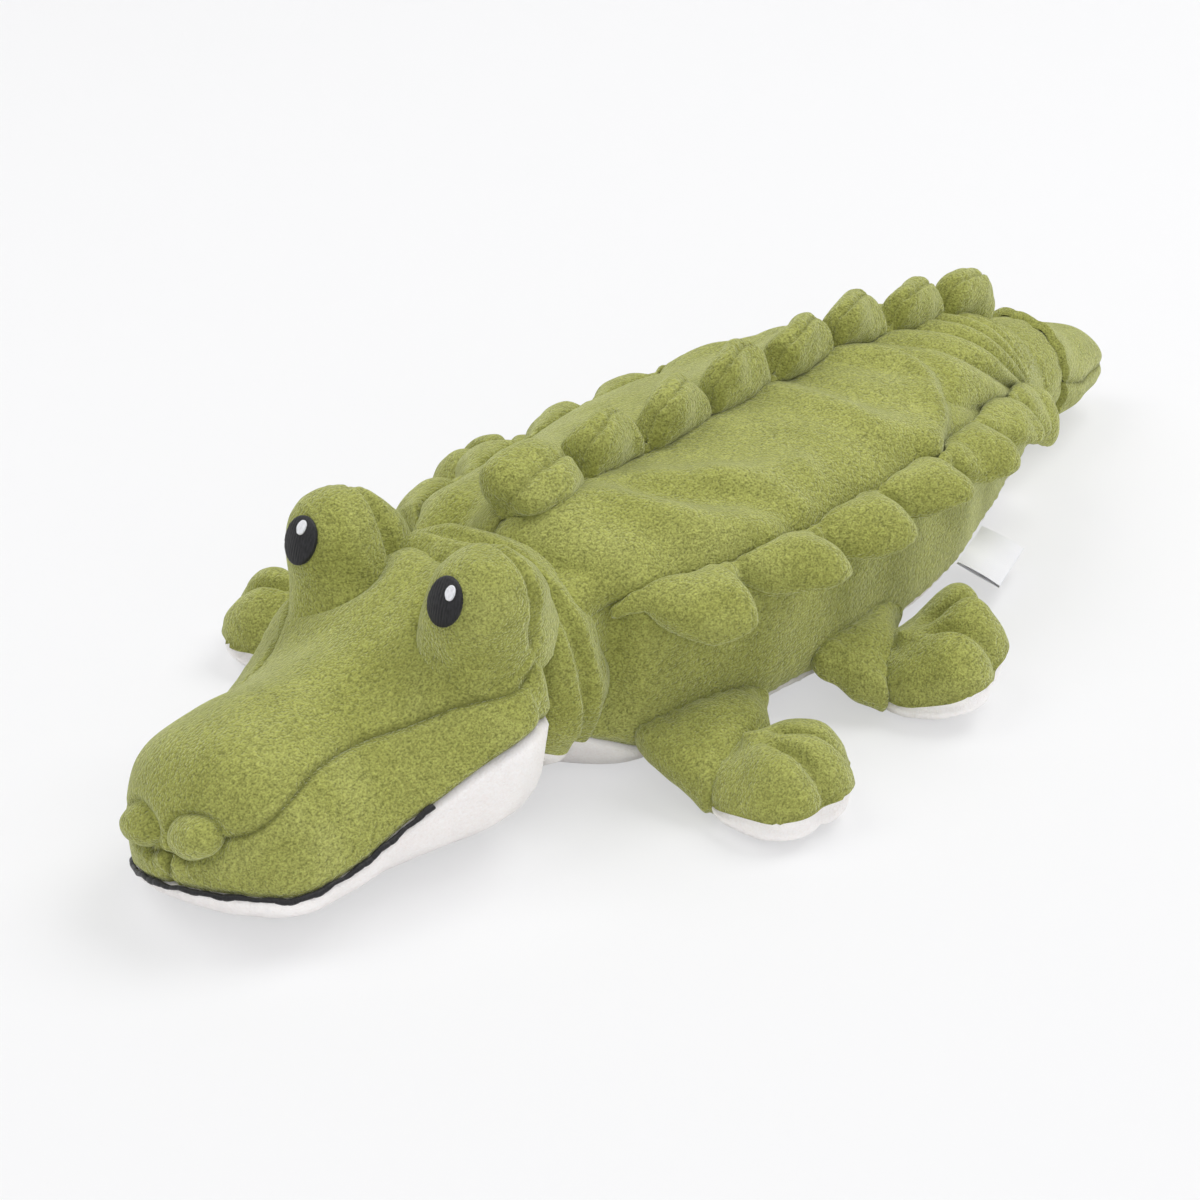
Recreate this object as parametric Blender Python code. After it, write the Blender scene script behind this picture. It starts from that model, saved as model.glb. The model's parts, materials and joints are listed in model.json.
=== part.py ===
"""A plush crocodile that lies flat on its belly, built from its sewn panels, fillings and stitched trim.

The nose points to -Y, the tail to +Y and the animal's left is +X. The floor is Z = 0.
Every length is in metres. A form is a stuffed shape made of oval sections strung along one axis.
Panels are strips of the same form's surface, one plush thick, and the filling is that form inset.
"""

import math

import bmesh
import bpy
import numpy as np

# Cloth and seams
PLUSH = 0.0025
SEAM_GAP = 0.0003
SEAT_GAP = 0.0003
FILL_SLACK = 0.0009
FILL_TIP_SHARE = 0.12
FLOOR = 0.0
FLOOR_CUT = 0.0005

# Neck ball, on which the head turns and nods
NECK_Y = -0.043
NECK_HEIGHT = 0.029
NECK_RADIUS = 0.025
NECK_RIM_DEG = 75.0
HEAD_YAW_DEG = -4.0

# Body
BODY_WIDTH = 0.090
BODY_HEIGHT = 0.060
BODY_TOP_SQUARE_SHARE = 0.62
BODY_LOW_SQUARE_SHARE = 0.62
# share along the body and angle down from the crown where the side scutes are sewn in
SCUTE_SEAM_DEGS = ((0.0, 60.0), (0.45, 61.0), (0.75, 68.0), (1.0, 84.0))
BELLY_SEAM_DEG = 118.0
POUCH_FROM_SHARE = 0.13
POUCH_TO_SHARE = 0.93
POUCH_BLUNT_SHARE = 0.2
# share along, half width, top, underside and widest height, each a share of the body's own sizes
BODY_SHARES = (
    (0.05, 0.76, 1.00, 0.0, 0.40),
    (0.12, 0.87, 1.00, 0.0, 0.38),
    (0.25, 0.98, 0.98, 0.0, 0.36),
    (0.42, 1.00, 0.98, 0.0, 0.36),
    (0.60, 0.92, 0.96, 0.0, 0.37),
    (0.76, 0.70, 0.91, 0.0, 0.38),
    (0.90, 0.48, 0.81, 0.0, 0.38),
)

# Tail and the gathered ball at its root
TAIL_Y = 0.180
TAIL_HEIGHT = 0.022
TAIL_BALL_RADIUS = 0.0150
TAIL_RIM_DEG = 70.0
TAIL_LENGTH = 0.042
TAIL_WIDTH = 0.030
TAIL_TIP_HEIGHT = 0.0300
TAIL_ROUND_SHARE = 0.45
PLEAT_COUNT = 14
PLEAT_DEPTH = 0.0012
TAIL_TOP_SQUARE_SHARE = 1.0
TAIL_TIP_SHARE = 0.985
TAIL_CROWD_POWER = 1.6
TAIL_FILL_SLACK = 0.0006
TAIL_FILL_SHARES = (0.28, 0.95, 0.5)
# share along, half width, top, underside and widest height, each a share of the tail's own sizes
TAIL_SHARES = (
    (0.30, 1.02, 1.05, 0.12, 0.56),
    (0.60, 0.84, 0.90, 0.10, 0.50),
    (1.00, 0.64, 0.70, 0.08, 0.42),
)

# Head, measured forward from the neck
HEAD_LENGTH = 0.092
HEAD_WIDTH = 0.079
HEAD_HEIGHT = 0.058
HEAD_TOP_SQUARE_SHARE = 0.78
HEAD_SQUARE_SHARE = 0.85
NOSE_ROUND_SHARE = 0.22
NOSE_SHARES = (0.004, 0.02, 0.045, 0.075)
NOSE_STEP_SHARE = 0.012
# share along from the nose, half width, top, underside and mouth height, shares of the head's own sizes
HEAD_SHARES = (
    (0.00, 0.42, 0.67, 0.10, 0.24),
    (0.14, 0.58, 0.71, 0.05, 0.23),
    (0.30, 0.72, 0.77, 0.0, 0.28),
    (0.50, 0.84, 0.85, 0.0, 0.38),
    (0.68, 0.96, 0.91, 0.0, 0.49),
    (0.84, 1.00, 0.96, 0.0, 0.57),
    (0.94, 0.88, 0.99, 0.0, 0.55),
)
HEAD_FILL_FROM_SHARE = 0.02
HEAD_FILL_BLUNT_SHARE = 0.12
# share along the head and angle down from the crown where the top panel is sewn
TOP_SEAM_SHARES = ((0.0, 0.36), (0.15, 0.46), (0.35, 0.58), (0.60, 0.62), (0.85, 0.66), (1.0, 0.68))
MOUTH_STITCH_SHARES = (0.55, 0.45, 0.36, 0.28, 0.22, 0.16, 0.11, 0.07, 0.04, 0.02, 0.004)
MOUTH_STITCH_RADIUS = 0.0007

# Eye turrets, nostrils and embroidery
EYE_FORWARD = 0.0188
EYE_APART = 0.042
EYE_TURRET_HEIGHT = 0.0550
EYE_TURRET_HALF = (0.0115, 0.0120, 0.0155)
EYE_LEAN_DEG = 10.0
EYE_SIZE = (0.0092, 0.0112)
EYE_THICK = 0.0008
EYE_OUT_DEG = 4.0
EYE_UP_DEG = 32.0
GLINT_SIZE = (0.0022, 0.0032)
GLINT_UP_SHARE = 0.28
NOSTRIL_HALF = (0.0055, 0.0045, 0.0045)
NOSTRIL_APART = 0.018
NOSTRIL_SETBACK = 0.0035
NOSTRIL_HEIGHT = 0.0290

# Scutes, the padded scallops along the back
SPINE_BUMPS = 8
SPINE_FROM_SHARE = 0.02
SPINE_TO_SHARE = 0.985
SPINE_PEAK = 0.0130
SPINE_VALLEY = 0.0040
SPINE_THICK = 0.0075
SIDE_BUMPS = 7
SIDE_FROM_SHARE = 0.03
SIDE_TO_SHARE = 0.93
SIDE_PEAK = 0.0145
SIDE_VALLEY = 0.0045
SIDE_THICK = 0.0060
SIDE_DROOP_DEG = 92.0
SCUTE_TAIL_SHARE = 0.80
SCUTE_SEAT_GAP = 0.0004
SECTIONS_A_BUMP = 6
SCUTE_WAVE_SHARE = 0.65
SCUTE_END_SHARE = 0.35
SCUTE_THIN_SHARE = 0.45
# sideways and height of a section through a scute, in shares of its thickness and its height
SCUTE_OUTLINE_SHARES = (
    (-0.3, 0.0), (-0.5, 0.3), (-0.38, 0.75), (0.0, 1.0), (0.38, 0.75), (0.5, 0.3), (0.3, 0.0),
)

# Legs
HIP_HEIGHT = 0.0130
LEG_ROOT_RADIUS = 0.0052
LEG_ROOT_SEAT = 0.0035
LEG_ROOT_WIDTH = 0.036
LEG_CROWN = 0.0015
ANKLE_HEIGHT = 0.0090
ANKLE_RADIUS = 0.0072
ANKLE_WIDTH = 0.026
ANKLE_OPEN_DEG = 62.0
FOOT_LENGTH = 0.0290
FOOT_WIDTH = 0.0350
FOOT_OUT = 0.0098
FOOT_HEIGHT = 0.0200
SOLE_RIM = 0.0060
TOE_COUNT = 3
TOE_SPREAD_DEG = 58.0
TOE_CREASE_SHARE = 0.13
TOE_CREASE_WIDTH_DEG = 11.0
TOE_CREASE_FROM_SHARE = 0.25
TOE_CREASE_RUN_SHARE = 0.5
SOLE_POWER_SHARE = 2.0
SOLE_TOE_POWER_SHARE = 1.5
LEG_ROOT_DEGS = (90.0, 125.0, 155.0, 180.0, 205.0, 235.0, 270.0)
# place across a leg and how full it is there
LEG_SECTION_SHARES = (
    (-1.0, 0.35), (-0.9, 0.72), (-0.68, 0.94), (0.0, 1.0), (0.68, 0.94), (0.9, 0.72), (1.0, 0.35),
)
FRONT_HIP_Y = -0.010
HIND_HIP_Y = 0.043
# each leg's length, sweep of its ankle towards the tail, turn of its foot and turn of its toes on it
LEG_LENGTHS = {"front_left": 0.0168, "front_right": 0.0240, "hind_left": 0.0095, "hind_right": 0.0255}
LEG_SWEEPS = {"front_left": -0.002, "front_right": -0.007, "hind_left": 0.001, "hind_right": 0.018}
FOOT_YAW_DEGS = {"front_left": 3.0, "front_right": 0.0, "hind_left": 26.0, "hind_right": 14.0}
TOE_TURN_DEGS = {"front_left": 13.0, "front_right": 0.0, "hind_left": 13.0, "hind_right": 10.0}

# Side label, left bare
LABEL_Y = 0.107
LABEL_HEIGHT = 0.0105
LABEL_WIDTH = 0.022
LABEL_LENGTH = 0.0125
LABEL_THICK = 0.0006
LABEL_DROP_DEG = 25.0

# Faces along and round each form
BODY_STEPS = 18
BACK_STEPS = 5
FLANK_STEPS = 4
BELLY_STEPS = 8
HEAD_STEPS = 14
TOP_STEPS = 6
CHEEK_STEPS = 4
CHIN_STEPS = 8
TAIL_STEPS = 7
ROUND_STEPS = 16
FOOT_ROUND_STEPS = 22
FOOT_DOME_STEPS = 4
ANKLE_STEPS = 8
SOCKET_STEPS = 24
PATCH_STEPS = 3
PATCH_ROUND_STEPS = 12
STITCH_ROUND_STEPS = 6
HALVINGS = 40

# How a blunt cap closes, and the step that measures a surface's direction
CAP_ALONG_POWER = 3.0
CAP_ROUND_POWER = 2.4
STEP_SHARE = 0.001

HALF_TURN = math.pi
QUARTER_TURN = math.pi / 2
UP = np.array((0.0, 0.0, 1.0))

# red, green and blue of each cloth, with its roughness
COLOURS = {
    "green_plush": ((0.30, 0.35, 0.09), 0.95),
    "cream_plush": ((0.86, 0.80, 0.75), 0.95),
    "black_thread": ((0.012, 0.012, 0.014), 0.6),
    "white_thread": ((0.85, 0.86, 0.88), 0.6),
    "white_tape": ((0.84, 0.84, 0.86), 0.7),
    "filling": ((0.88, 0.87, 0.84), 1.0),
    "grain_cotton": ((0.78, 0.74, 0.64), 0.95),
}


def clear_scene():
    for obj in list(bpy.data.objects):
        bpy.data.objects.remove(obj, do_unlink=True)


def cloth(name):
    """The material of this name, made the first time it is asked for."""
    if name in bpy.data.materials:
        return bpy.data.materials[name]
    colour, roughness = COLOURS[name]
    material = bpy.data.materials.new(name)
    material.use_nodes = True
    shader = material.node_tree.nodes["Principled BSDF"]
    shader.inputs["Base Color"].default_value = (*colour, 1.0)
    shader.inputs["Roughness"].default_value = roughness
    shader.inputs["Metallic"].default_value = 0.0
    return material


def add_mesh(name, points, faces, material, parent=None):
    """One closed mesh object, its faces turned outwards."""
    mesh = bpy.data.meshes.new(name)
    mesh.from_pydata([tuple(map(float, p)) for p in points], [], faces)
    shape = bmesh.new()
    shape.from_mesh(mesh)
    bmesh.ops.recalc_face_normals(shape, faces=shape.faces)
    if shape.calc_volume(signed=True) < 0:
        bmesh.ops.reverse_faces(shape, faces=shape.faces)
    shape.to_mesh(mesh)
    shape.free()
    mesh.shade_smooth()
    mesh.materials.append(cloth(material))
    obj = bpy.data.objects.new(name, mesh)
    bpy.context.scene.collection.objects.link(obj)
    obj.parent = parent
    return obj


def add_joint(name, place, yaw=0.0, parent=None):
    """An empty on a joint's axis, which carries the pieces that move about it."""
    joint = bpy.data.objects.new(name, None)
    bpy.context.scene.collection.objects.link(joint)
    joint.parent = parent
    joint.location = [float(x) for x in place]
    joint.rotation_euler = (0.0, 0.0, yaw)
    return joint


def cut(obj, cutter):
    """Takes a hidden cutter's shape out of an object."""
    cutter.hide_render = True
    cutter.display_type = "WIRE"
    modifier = obj.modifiers.new("cut_by_" + cutter.name, "BOOLEAN")
    modifier.operation = "DIFFERENCE"
    modifier.solver = "EXACT"
    modifier.object = cutter


def smooth_rows(rows, share):
    """The values of a table at one share, on a smooth curve through its rows."""
    table = np.array(rows, float)
    at, values = table[:, 0], table[:, 1:]
    slopes = np.gradient(values, at, axis=0)
    i = int(np.clip(np.searchsorted(at, share) - 1, 0, len(at) - 2))
    span = at[i + 1] - at[i]
    t = (share - at[i]) / span
    start = (1 + 2 * t) * (1 - t) ** 2 * values[i] + t * (1 - t) ** 2 * span * slopes[i]
    end = t * t * (3 - 2 * t) * values[i + 1] + t * t * (t - 1) * span * slopes[i + 1]
    return start + end


def blunt(near):
    """How full a blunt cap is, from 1 where it begins to 0 at its tip."""
    return (1 - near ** CAP_ALONG_POWER) ** (1 / CAP_ROUND_POWER)


def bulge(x, power):
    """Sine or cosine made squarer: its sign kept, its size raised to a power."""
    return math.copysign(abs(x) ** power, x)


class Form:
    """A stuffed shape: oval sections between two ends of one axis along Y.

    Each row holds a share along, a half width, a top, an underside and a widest height, with the
    squareness of the upper and of the lower half last. An end with a round share closes in a blunt cap.
    """

    def __init__(self, rows, start, end, round_start=0.0, round_end=0.0):
        self.rows = rows
        self.start = start
        self.end = end
        self.round_start = round_start
        self.round_end = round_end

    def cap(self, share):
        """How full the section is, from 0 at a closed end to 1."""
        full = 1.0
        if self.round_start and share < self.round_start:
            full = blunt(1 - share / self.round_start)
        if self.round_end and share > 1 - self.round_end:
            full = blunt(1 - (1 - share) / self.round_end)
        return full

    def point(self, share, turn, inset=0.0):
        """A point at a share along and an angle from the crown, moved inwards by the inset."""
        width, top, low, middle, top_square, low_square = smooth_rows(self.rows, share)
        full = self.cap(share)
        side = math.sin(turn)
        up = math.cos(turn)
        power = low_square if up < 0 else top_square
        x = full * (width - inset) * bulge(side, power)
        reach = top - middle - inset if up > 0 else middle - low - inset
        z = middle + full * reach * bulge(up, power)
        forward = math.copysign(1.0, self.end - self.start)
        start = self.start + forward * inset * (self.round_start > 0)
        end = self.end - forward * inset * (self.round_end > 0)
        y = start + share * (end - start)
        if inset >= 0:
            z = max(z, FLOOR + inset)
        return np.array((x, y, z))

    def seam_angle(self, share):
        """Half a seam's gap, as an angle at this section."""
        width, top, low = smooth_rows(self.rows, share)[:3]
        smallest = max(min(width, (top - low) / 2) * self.cap(share), PLUSH)
        return SEAM_GAP / smallest

    def along(self, share, turn):
        """The surface's direction along the form, from the start towards the end."""
        line = self.point(share + STEP_SHARE, turn) - self.point(share - STEP_SHARE, turn)
        return line / np.linalg.norm(line)

    def outward(self, share, turn):
        """The surface's outward direction, from two short steps along it."""
        along = self.along(share, turn)
        across = self.point(share, turn + STEP_SHARE, -PLUSH) - self.point(share, turn - STEP_SHARE, -PLUSH)
        normal = np.cross(along, across)
        normal /= np.linalg.norm(normal)
        middle = smooth_rows(self.rows, share)[3]
        here = self.point(share, turn)
        if normal @ (here - np.array((0.0, here[1], middle))) < 0:
            normal = -normal
        return normal


class Lowered:
    """A form seen from a joint that stands above the floor."""

    def __init__(self, form, height):
        self.form = form
        self.height = UP * height

    def point(self, share, turn, inset=0.0):
        return self.form.point(share, turn, inset) - self.height


def spaced(first, last, steps):
    return [first + (last - first) * i / steps for i in range(steps + 1)]


def grid_faces(rows, columns, offset, flip):
    faces = []
    for i in range(rows - 1):
        for j in range(columns - 1):
            a = offset + i * columns + j
            face = (a, a + 1, a + columns + 1, a + columns)
            faces.append(face[::-1] if flip else face)
    return faces


def slab(name, outer, inner, material, parent=None):
    """A closed sheet between two grids of points that match one to one."""
    outer = np.array(outer)
    inner = np.array(inner)
    rows, columns = outer.shape[:2]
    count = rows * columns
    points = np.concatenate((outer.reshape(-1, 3), inner.reshape(-1, 3)))
    faces = grid_faces(rows, columns, 0, False) + grid_faces(rows, columns, count, True)
    rim = list(range(columns))
    rim += [i * columns + columns - 1 for i in range(1, rows)]
    rim += [(rows - 1) * columns + j for j in range(columns - 2, -1, -1)]
    rim += [i * columns for i in range(rows - 2, 0, -1)]
    for a, b in zip(rim, rim[1:] + rim[:1]):
        faces.append((b, a, a + count, b + count))
    return add_mesh(name, points, faces, material, parent)


def panel(name, form, shares, turns_at, material, parent=None):
    """A strip of a form's surface, one plush thick. turns_at gives its angles at a share."""
    outer = [[form.point(s, t) for t in turns_at(s)] for s in shares]
    inner = [[form.point(s, t, PLUSH) for t in turns_at(s)] for s in shares]
    return slab(name, outer, inner, material, parent)


def ring_faces(count, around):
    """The faces between rings of points that follow one another."""
    faces = []
    for i in range(count - 1):
        for j in range(around):
            a = i * around + j
            b = i * around + (j + 1) % around
            faces.append((a, b, b + around, a + around))
    return faces


def ring_solid(name, rings, material, parent=None, poles=None):
    """A closed solid through rings of points, with a fan over each end to its pole."""
    rings = np.array(rings)
    count, around = rings.shape[:2]
    if poles is None:
        poles = (rings[0].mean(axis=0), rings[-1].mean(axis=0))
    points = list(rings.reshape(-1, 3))
    faces = ring_faces(count, around)
    for pole, first in zip(poles, (0, (count - 1) * around)):
        points.append(pole)
        for j in range(around):
            faces.append((first + j, first + (j + 1) % around, len(points) - 1))
    return add_mesh(name, points, faces, material, parent)


def filling(name, form, first, last, blunt, inset, steps, around, material, parent=None):
    """The stuffing of a form between two shares, its ends rounded over a blunt share."""
    rings = []
    for i in range(steps + 1):
        part = i / steps
        share = first + (last - first) * (1 - math.cos(HALF_TURN * part)) / 2
        near = min(share - first, last - share) / (last - first) / blunt
        full = math.sqrt(max(1 - max(1 - near, 0.0) ** 2, 0.0)) if near < 1 else 1.0
        full = max(full, FILL_TIP_SHARE)
        ring = [form.point(share, 2 * HALF_TURN * j / around, inset) for j in range(around)]
        middle = np.mean(ring, axis=0)
        rings.append([middle + full * (p - middle) for p in ring])
    return ring_solid(name, rings, material, parent)


def ball(name, radius, material, parent, around=ROUND_STEPS, pleats=0, depth=0.0):
    """A ball about its parent's origin, its axis along Y, with pleats along that axis if asked."""
    rings = []
    levels = ROUND_STEPS // 2
    for i in range(1, levels):
        polar = HALF_TURN * i / levels
        ring = []
        for j in range(around):
            turn = 2 * HALF_TURN * j / around
            pressed = depth * (1 - math.cos(pleats * turn)) / 2 * math.sin(polar)
            reach = radius - pressed
            ring.append((
                reach * math.sin(polar) * math.cos(turn),
                reach * math.cos(polar),
                reach * math.sin(polar) * math.sin(turn),
            ))
        rings.append(ring)
    return ring_solid(name, rings, material, parent)


def rim_row(share, radius, rim_deg, height):
    """The row of a form whose skin ends on a ball, its inner face one gap off the ball."""
    reach = (radius + SEAT_GAP + PLUSH) * math.sin(math.radians(rim_deg))
    return (share, reach, height + reach, height - reach, height, 1.0, 1.0)


def rim_offset(radius, rim_deg):
    """How far along the axis that skin's edge lies from the ball's centre."""
    return (radius + SEAT_GAP + PLUSH) * math.cos(math.radians(rim_deg))


def sized_rows(shares, width, height, top_square, low_square):
    """A table of shares as real half widths and heights, its underside just under the floor."""
    rows = []
    for share, wide, top, under, middle in shares:
        low = under * height - FLOOR_CUT
        rows.append((share, wide * width / 2, top * height, low, middle * height, top_square, low_square))
    return rows


def body_form():
    rows = [rim_row(0.0, NECK_RADIUS, NECK_RIM_DEG, NECK_HEIGHT)]
    rows += sized_rows(BODY_SHARES, BODY_WIDTH, BODY_HEIGHT, BODY_TOP_SQUARE_SHARE, BODY_LOW_SQUARE_SHARE)
    rows += [rim_row(1.0, TAIL_BALL_RADIUS, TAIL_RIM_DEG, TAIL_HEIGHT)]
    start = NECK_Y + rim_offset(NECK_RADIUS, NECK_RIM_DEG)
    end = TAIL_Y - rim_offset(TAIL_BALL_RADIUS, TAIL_RIM_DEG)
    return Form(rows, start, end)


def head_form():
    """The head about the neck's centre, its nose at -Y and its height above the floor."""
    rows = sized_rows(HEAD_SHARES, HEAD_WIDTH, HEAD_HEIGHT, HEAD_TOP_SQUARE_SHARE, HEAD_SQUARE_SHARE)
    rows += [rim_row(1.0, NECK_RADIUS, NECK_RIM_DEG, NECK_HEIGHT)]
    return Form(rows, -HEAD_LENGTH, -rim_offset(NECK_RADIUS, NECK_RIM_DEG), round_start=NOSE_ROUND_SHARE)


def tail_form():
    rows = [rim_row(0.0, TAIL_BALL_RADIUS, TAIL_RIM_DEG, TAIL_HEIGHT)]
    rows += sized_rows(TAIL_SHARES, TAIL_WIDTH, TAIL_TIP_HEIGHT, TAIL_TOP_SQUARE_SHARE, BODY_LOW_SQUARE_SHARE)
    start = rim_offset(TAIL_BALL_RADIUS, TAIL_RIM_DEG)
    return Form(rows, start, TAIL_LENGTH, round_end=TAIL_ROUND_SHARE)


def mirrored(turns_at):
    """The same strip on the other side of the form."""
    return lambda share: [-turn for turn in turns_at(share)]


def level(degrees):
    """A seam at the same angle all along."""
    return lambda share: math.radians(degrees)


def scute_seam(share):
    return math.radians(smooth_rows(SCUTE_SEAM_DEGS, share)[0])


def strip_turns(form, first_seam, last_seam, steps):
    """Angles of a panel between two seams, each drawn back by half the seam's gap."""
    def turns_at(share):
        gap = form.seam_angle(share)
        return spaced(first_seam(share) + gap, last_seam(share) - gap, steps)
    return turns_at


def body_shares():
    """Rows closer together towards the two ends, where the form bends most."""
    parts = [i / BODY_STEPS for i in range(BODY_STEPS + 1)]
    return [((1 - math.cos(HALF_TURN * part)) / 2 + part) / 2 for part in parts]


def make_body(body):
    """The two back panels, two flanks, the belly and the grain pouch inside."""
    shares = body_shares()
    back = strip_turns(body, level(0.0), scute_seam, BACK_STEPS)
    flank = strip_turns(body, scute_seam, level(BELLY_SEAM_DEG), FLANK_STEPS)
    belly = strip_turns(body, level(BELLY_SEAM_DEG), level(360.0 - BELLY_SEAM_DEG), BELLY_STEPS)
    pieces = {
        "back_panel_left": panel("back_panel_left", body, shares, back, "green_plush"),
        "back_panel_right": panel("back_panel_right", body, shares, mirrored(back), "green_plush"),
        "flank_panel_left": panel("flank_panel_left", body, shares, flank, "green_plush"),
        "flank_panel_right": panel("flank_panel_right", body, shares, mirrored(flank), "green_plush"),
        "belly_panel": panel("belly_panel", body, shares, belly, "cream_plush"),
    }
    pieces["grain_pouch"] = filling(
        "grain_pouch", body, POUCH_FROM_SHARE, POUCH_TO_SHARE, POUCH_BLUNT_SHARE,
        PLUSH + FILL_SLACK, BODY_STEPS, ROUND_STEPS, "grain_cotton",
    )
    return pieces


def bump_height(part, bumps, peak, valley, last_share):
    """The height of a scalloped edge at a part of its length, lower towards its end."""
    wave = abs(math.sin(HALF_TURN * bumps * part)) ** SCUTE_WAVE_SHARE
    ends = min(1.0, 2 * bumps * part + SCUTE_END_SHARE, 2 * bumps * (1 - part) + SCUTE_END_SHARE)
    return (valley * ends + (peak - valley) * wave) * (1 + (last_share - 1) * part)


def scute_strip(name, form, seam, droop, bumps, first, last, peak, valley, thick):
    """A padded strip of scallops that stands on a seam of the body."""
    steps = bumps * SECTIONS_A_BUMP
    rings = []
    for i in range(steps + 1):
        part = i / steps
        share = first + (last - first) * part
        turn = seam(share)
        high = bump_height(part, bumps, peak, valley, SCUTE_TAIL_SHARE)
        wide = thick * min(1.0, SCUTE_THIN_SHARE + high / peak) * (1 + (SCUTE_TAIL_SHARE - 1) * part)
        normal = form.outward(share, turn)
        across = np.cross(form.along(share, turn), normal)
        foot = form.point(share, turn) + SCUTE_SEAT_GAP * normal
        lean = math.radians(droop)
        ring = []
        for sideways, height in SCUTE_OUTLINE_SHARES:
            bend = lean * height
            up = normal * math.cos(bend) + across * math.sin(bend)
            flat = across * math.cos(bend) - normal * math.sin(bend)
            ring.append(foot + up * height * high + flat * sideways * wide)
        rings.append(ring)
    return ring_solid(name, rings, "green_plush")


def make_scutes(body):
    scute_strip("spine_scutes", body, level(0.0), 0.0, SPINE_BUMPS, SPINE_FROM_SHARE, SPINE_TO_SHARE,
                SPINE_PEAK, SPINE_VALLEY, SPINE_THICK)
    for name, seam, droop in (
        ("left_scutes", scute_seam, SIDE_DROOP_DEG),
        ("right_scutes", lambda share: -scute_seam(share), -SIDE_DROOP_DEG),
    ):
        scute_strip(name, body, seam, droop, SIDE_BUMPS, SIDE_FROM_SHARE,
                    SIDE_TO_SHARE, SIDE_PEAK, SIDE_VALLEY, SIDE_THICK)


def make_tail(tail, root):
    """Upper and lower tail panels with their stuffing, all in the gather's frame."""
    lift = add_joint("tail_lift_axis", (0.0, 0.0, 0.0), parent=root)
    low = Lowered(tail, TAIL_HEIGHT)
    shares = [(1 - (1 - i / TAIL_STEPS) ** TAIL_CROWD_POWER) * TAIL_TIP_SHARE for i in range(TAIL_STEPS + 1)]
    over = strip_turns(tail, level(-90.0), level(90.0), 2 * BACK_STEPS)
    under = strip_turns(tail, level(90.0), level(270.0), BELLY_STEPS)
    panel("tail_upper_panel", low, shares, over, "green_plush", lift)
    panel("tail_under_panel", low, shares, under, "green_plush", lift)
    first, last, blunt_share = TAIL_FILL_SHARES
    filling("tail_stuffing", low, first, last, blunt_share, PLUSH + TAIL_FILL_SLACK, TAIL_STEPS,
            ROUND_STEPS, "filling", lift)


def head_shares():
    """Rows that crowd towards the blunt nose, with a pair at the top panel's front edge."""
    first = NOSE_SHARES[-1] + NOSE_STEP_SHARE
    return list(NOSE_SHARES) + spaced(first, 1.0, HEAD_STEPS - len(NOSE_SHARES))


def make_head(head, joint):
    """The top panel, two cheeks that meet at the nose, the chin and the stuffing."""
    low = Lowered(head, NECK_HEIGHT)
    shares = head_shares()

    def seam(share):
        return smooth_rows(TOP_SEAM_SHARES, share)[0] * QUARTER_TURN

    def top_turns(share):
        reach = seam(share) - head.seam_angle(share)
        return spaced(-reach, reach, TOP_STEPS)

    def cheek_turns(share):
        first = seam(share) if share > NOSE_SHARES[-1] else 0.0
        gap = head.seam_angle(share)
        return spaced(first + gap, QUARTER_TURN - gap, CHEEK_STEPS)

    def chin_turns(share):
        gap = head.seam_angle(share)
        return spaced(QUARTER_TURN + gap, 3 * QUARTER_TURN - gap, CHIN_STEPS)

    top_shares = [s for s in shares if s > NOSE_SHARES[-1]]
    panel("head_top_panel", low, top_shares, top_turns, "green_plush", joint)
    panel("cheek_panel_left", low, shares, cheek_turns, "green_plush", joint)
    panel("cheek_panel_right", low, shares, mirrored(cheek_turns), "green_plush", joint)
    panel("chin_panel", low, shares, chin_turns, "cream_plush", joint)
    stuffing_end = 1.0 - (NECK_RADIUS + SEAT_GAP) / HEAD_LENGTH
    filling("head_stuffing", low, HEAD_FILL_FROM_SHARE, stuffing_end, HEAD_FILL_BLUNT_SHARE,
            PLUSH + FILL_SLACK, HEAD_STEPS - 2, ROUND_STEPS, "filling", joint)


def head_shape(head, joint):
    """The head's whole solid grown by one gap, hidden, to cut what stands on it."""
    turns = [HALF_TURN * j / ROUND_STEPS for j in range(2 * ROUND_STEPS)]
    shares = NOSE_SHARES + tuple(spaced(NOSE_SHARES[-1] + NOSE_STEP_SHARE, 1.0, 2 * HEAD_STEPS))
    rings = [[head.point(share, turn, -SEAT_GAP) - UP * NECK_HEIGHT for turn in turns] for share in shares]
    cutter = ring_solid("head_shape", rings, "filling", joint)
    cutter.hide_render = True
    return cutter


def mouth_stitch(head, joint):
    """One black cord stitch from the left corner of the mouth round the nose to the right."""
    out = SEAT_GAP + MOUTH_STITCH_RADIUS
    path = [head.point(share, QUARTER_TURN, -out) for share in MOUTH_STITCH_SHARES]
    path += [p * np.array((-1.0, 1.0, 1.0)) for p in reversed(path)]
    rings = []
    for i, p in enumerate(path):
        along = path[min(i + 1, len(path) - 1)] - path[max(i - 1, 0)]
        along /= np.linalg.norm(along)
        aside = np.cross(along, UP)
        aside /= np.linalg.norm(aside)
        over = np.cross(aside, along)
        ring = []
        for j in range(STITCH_ROUND_STEPS):
            turn = 2 * HALF_TURN * j / STITCH_ROUND_STEPS
            ring.append(p + MOUTH_STITCH_RADIUS * (math.cos(turn) * aside + math.sin(turn) * over))
        rings.append(ring)
    rings = np.array(rings) - UP * NECK_HEIGHT
    ring_solid("mouth_stitch", rings, "black_thread", joint)


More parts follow.
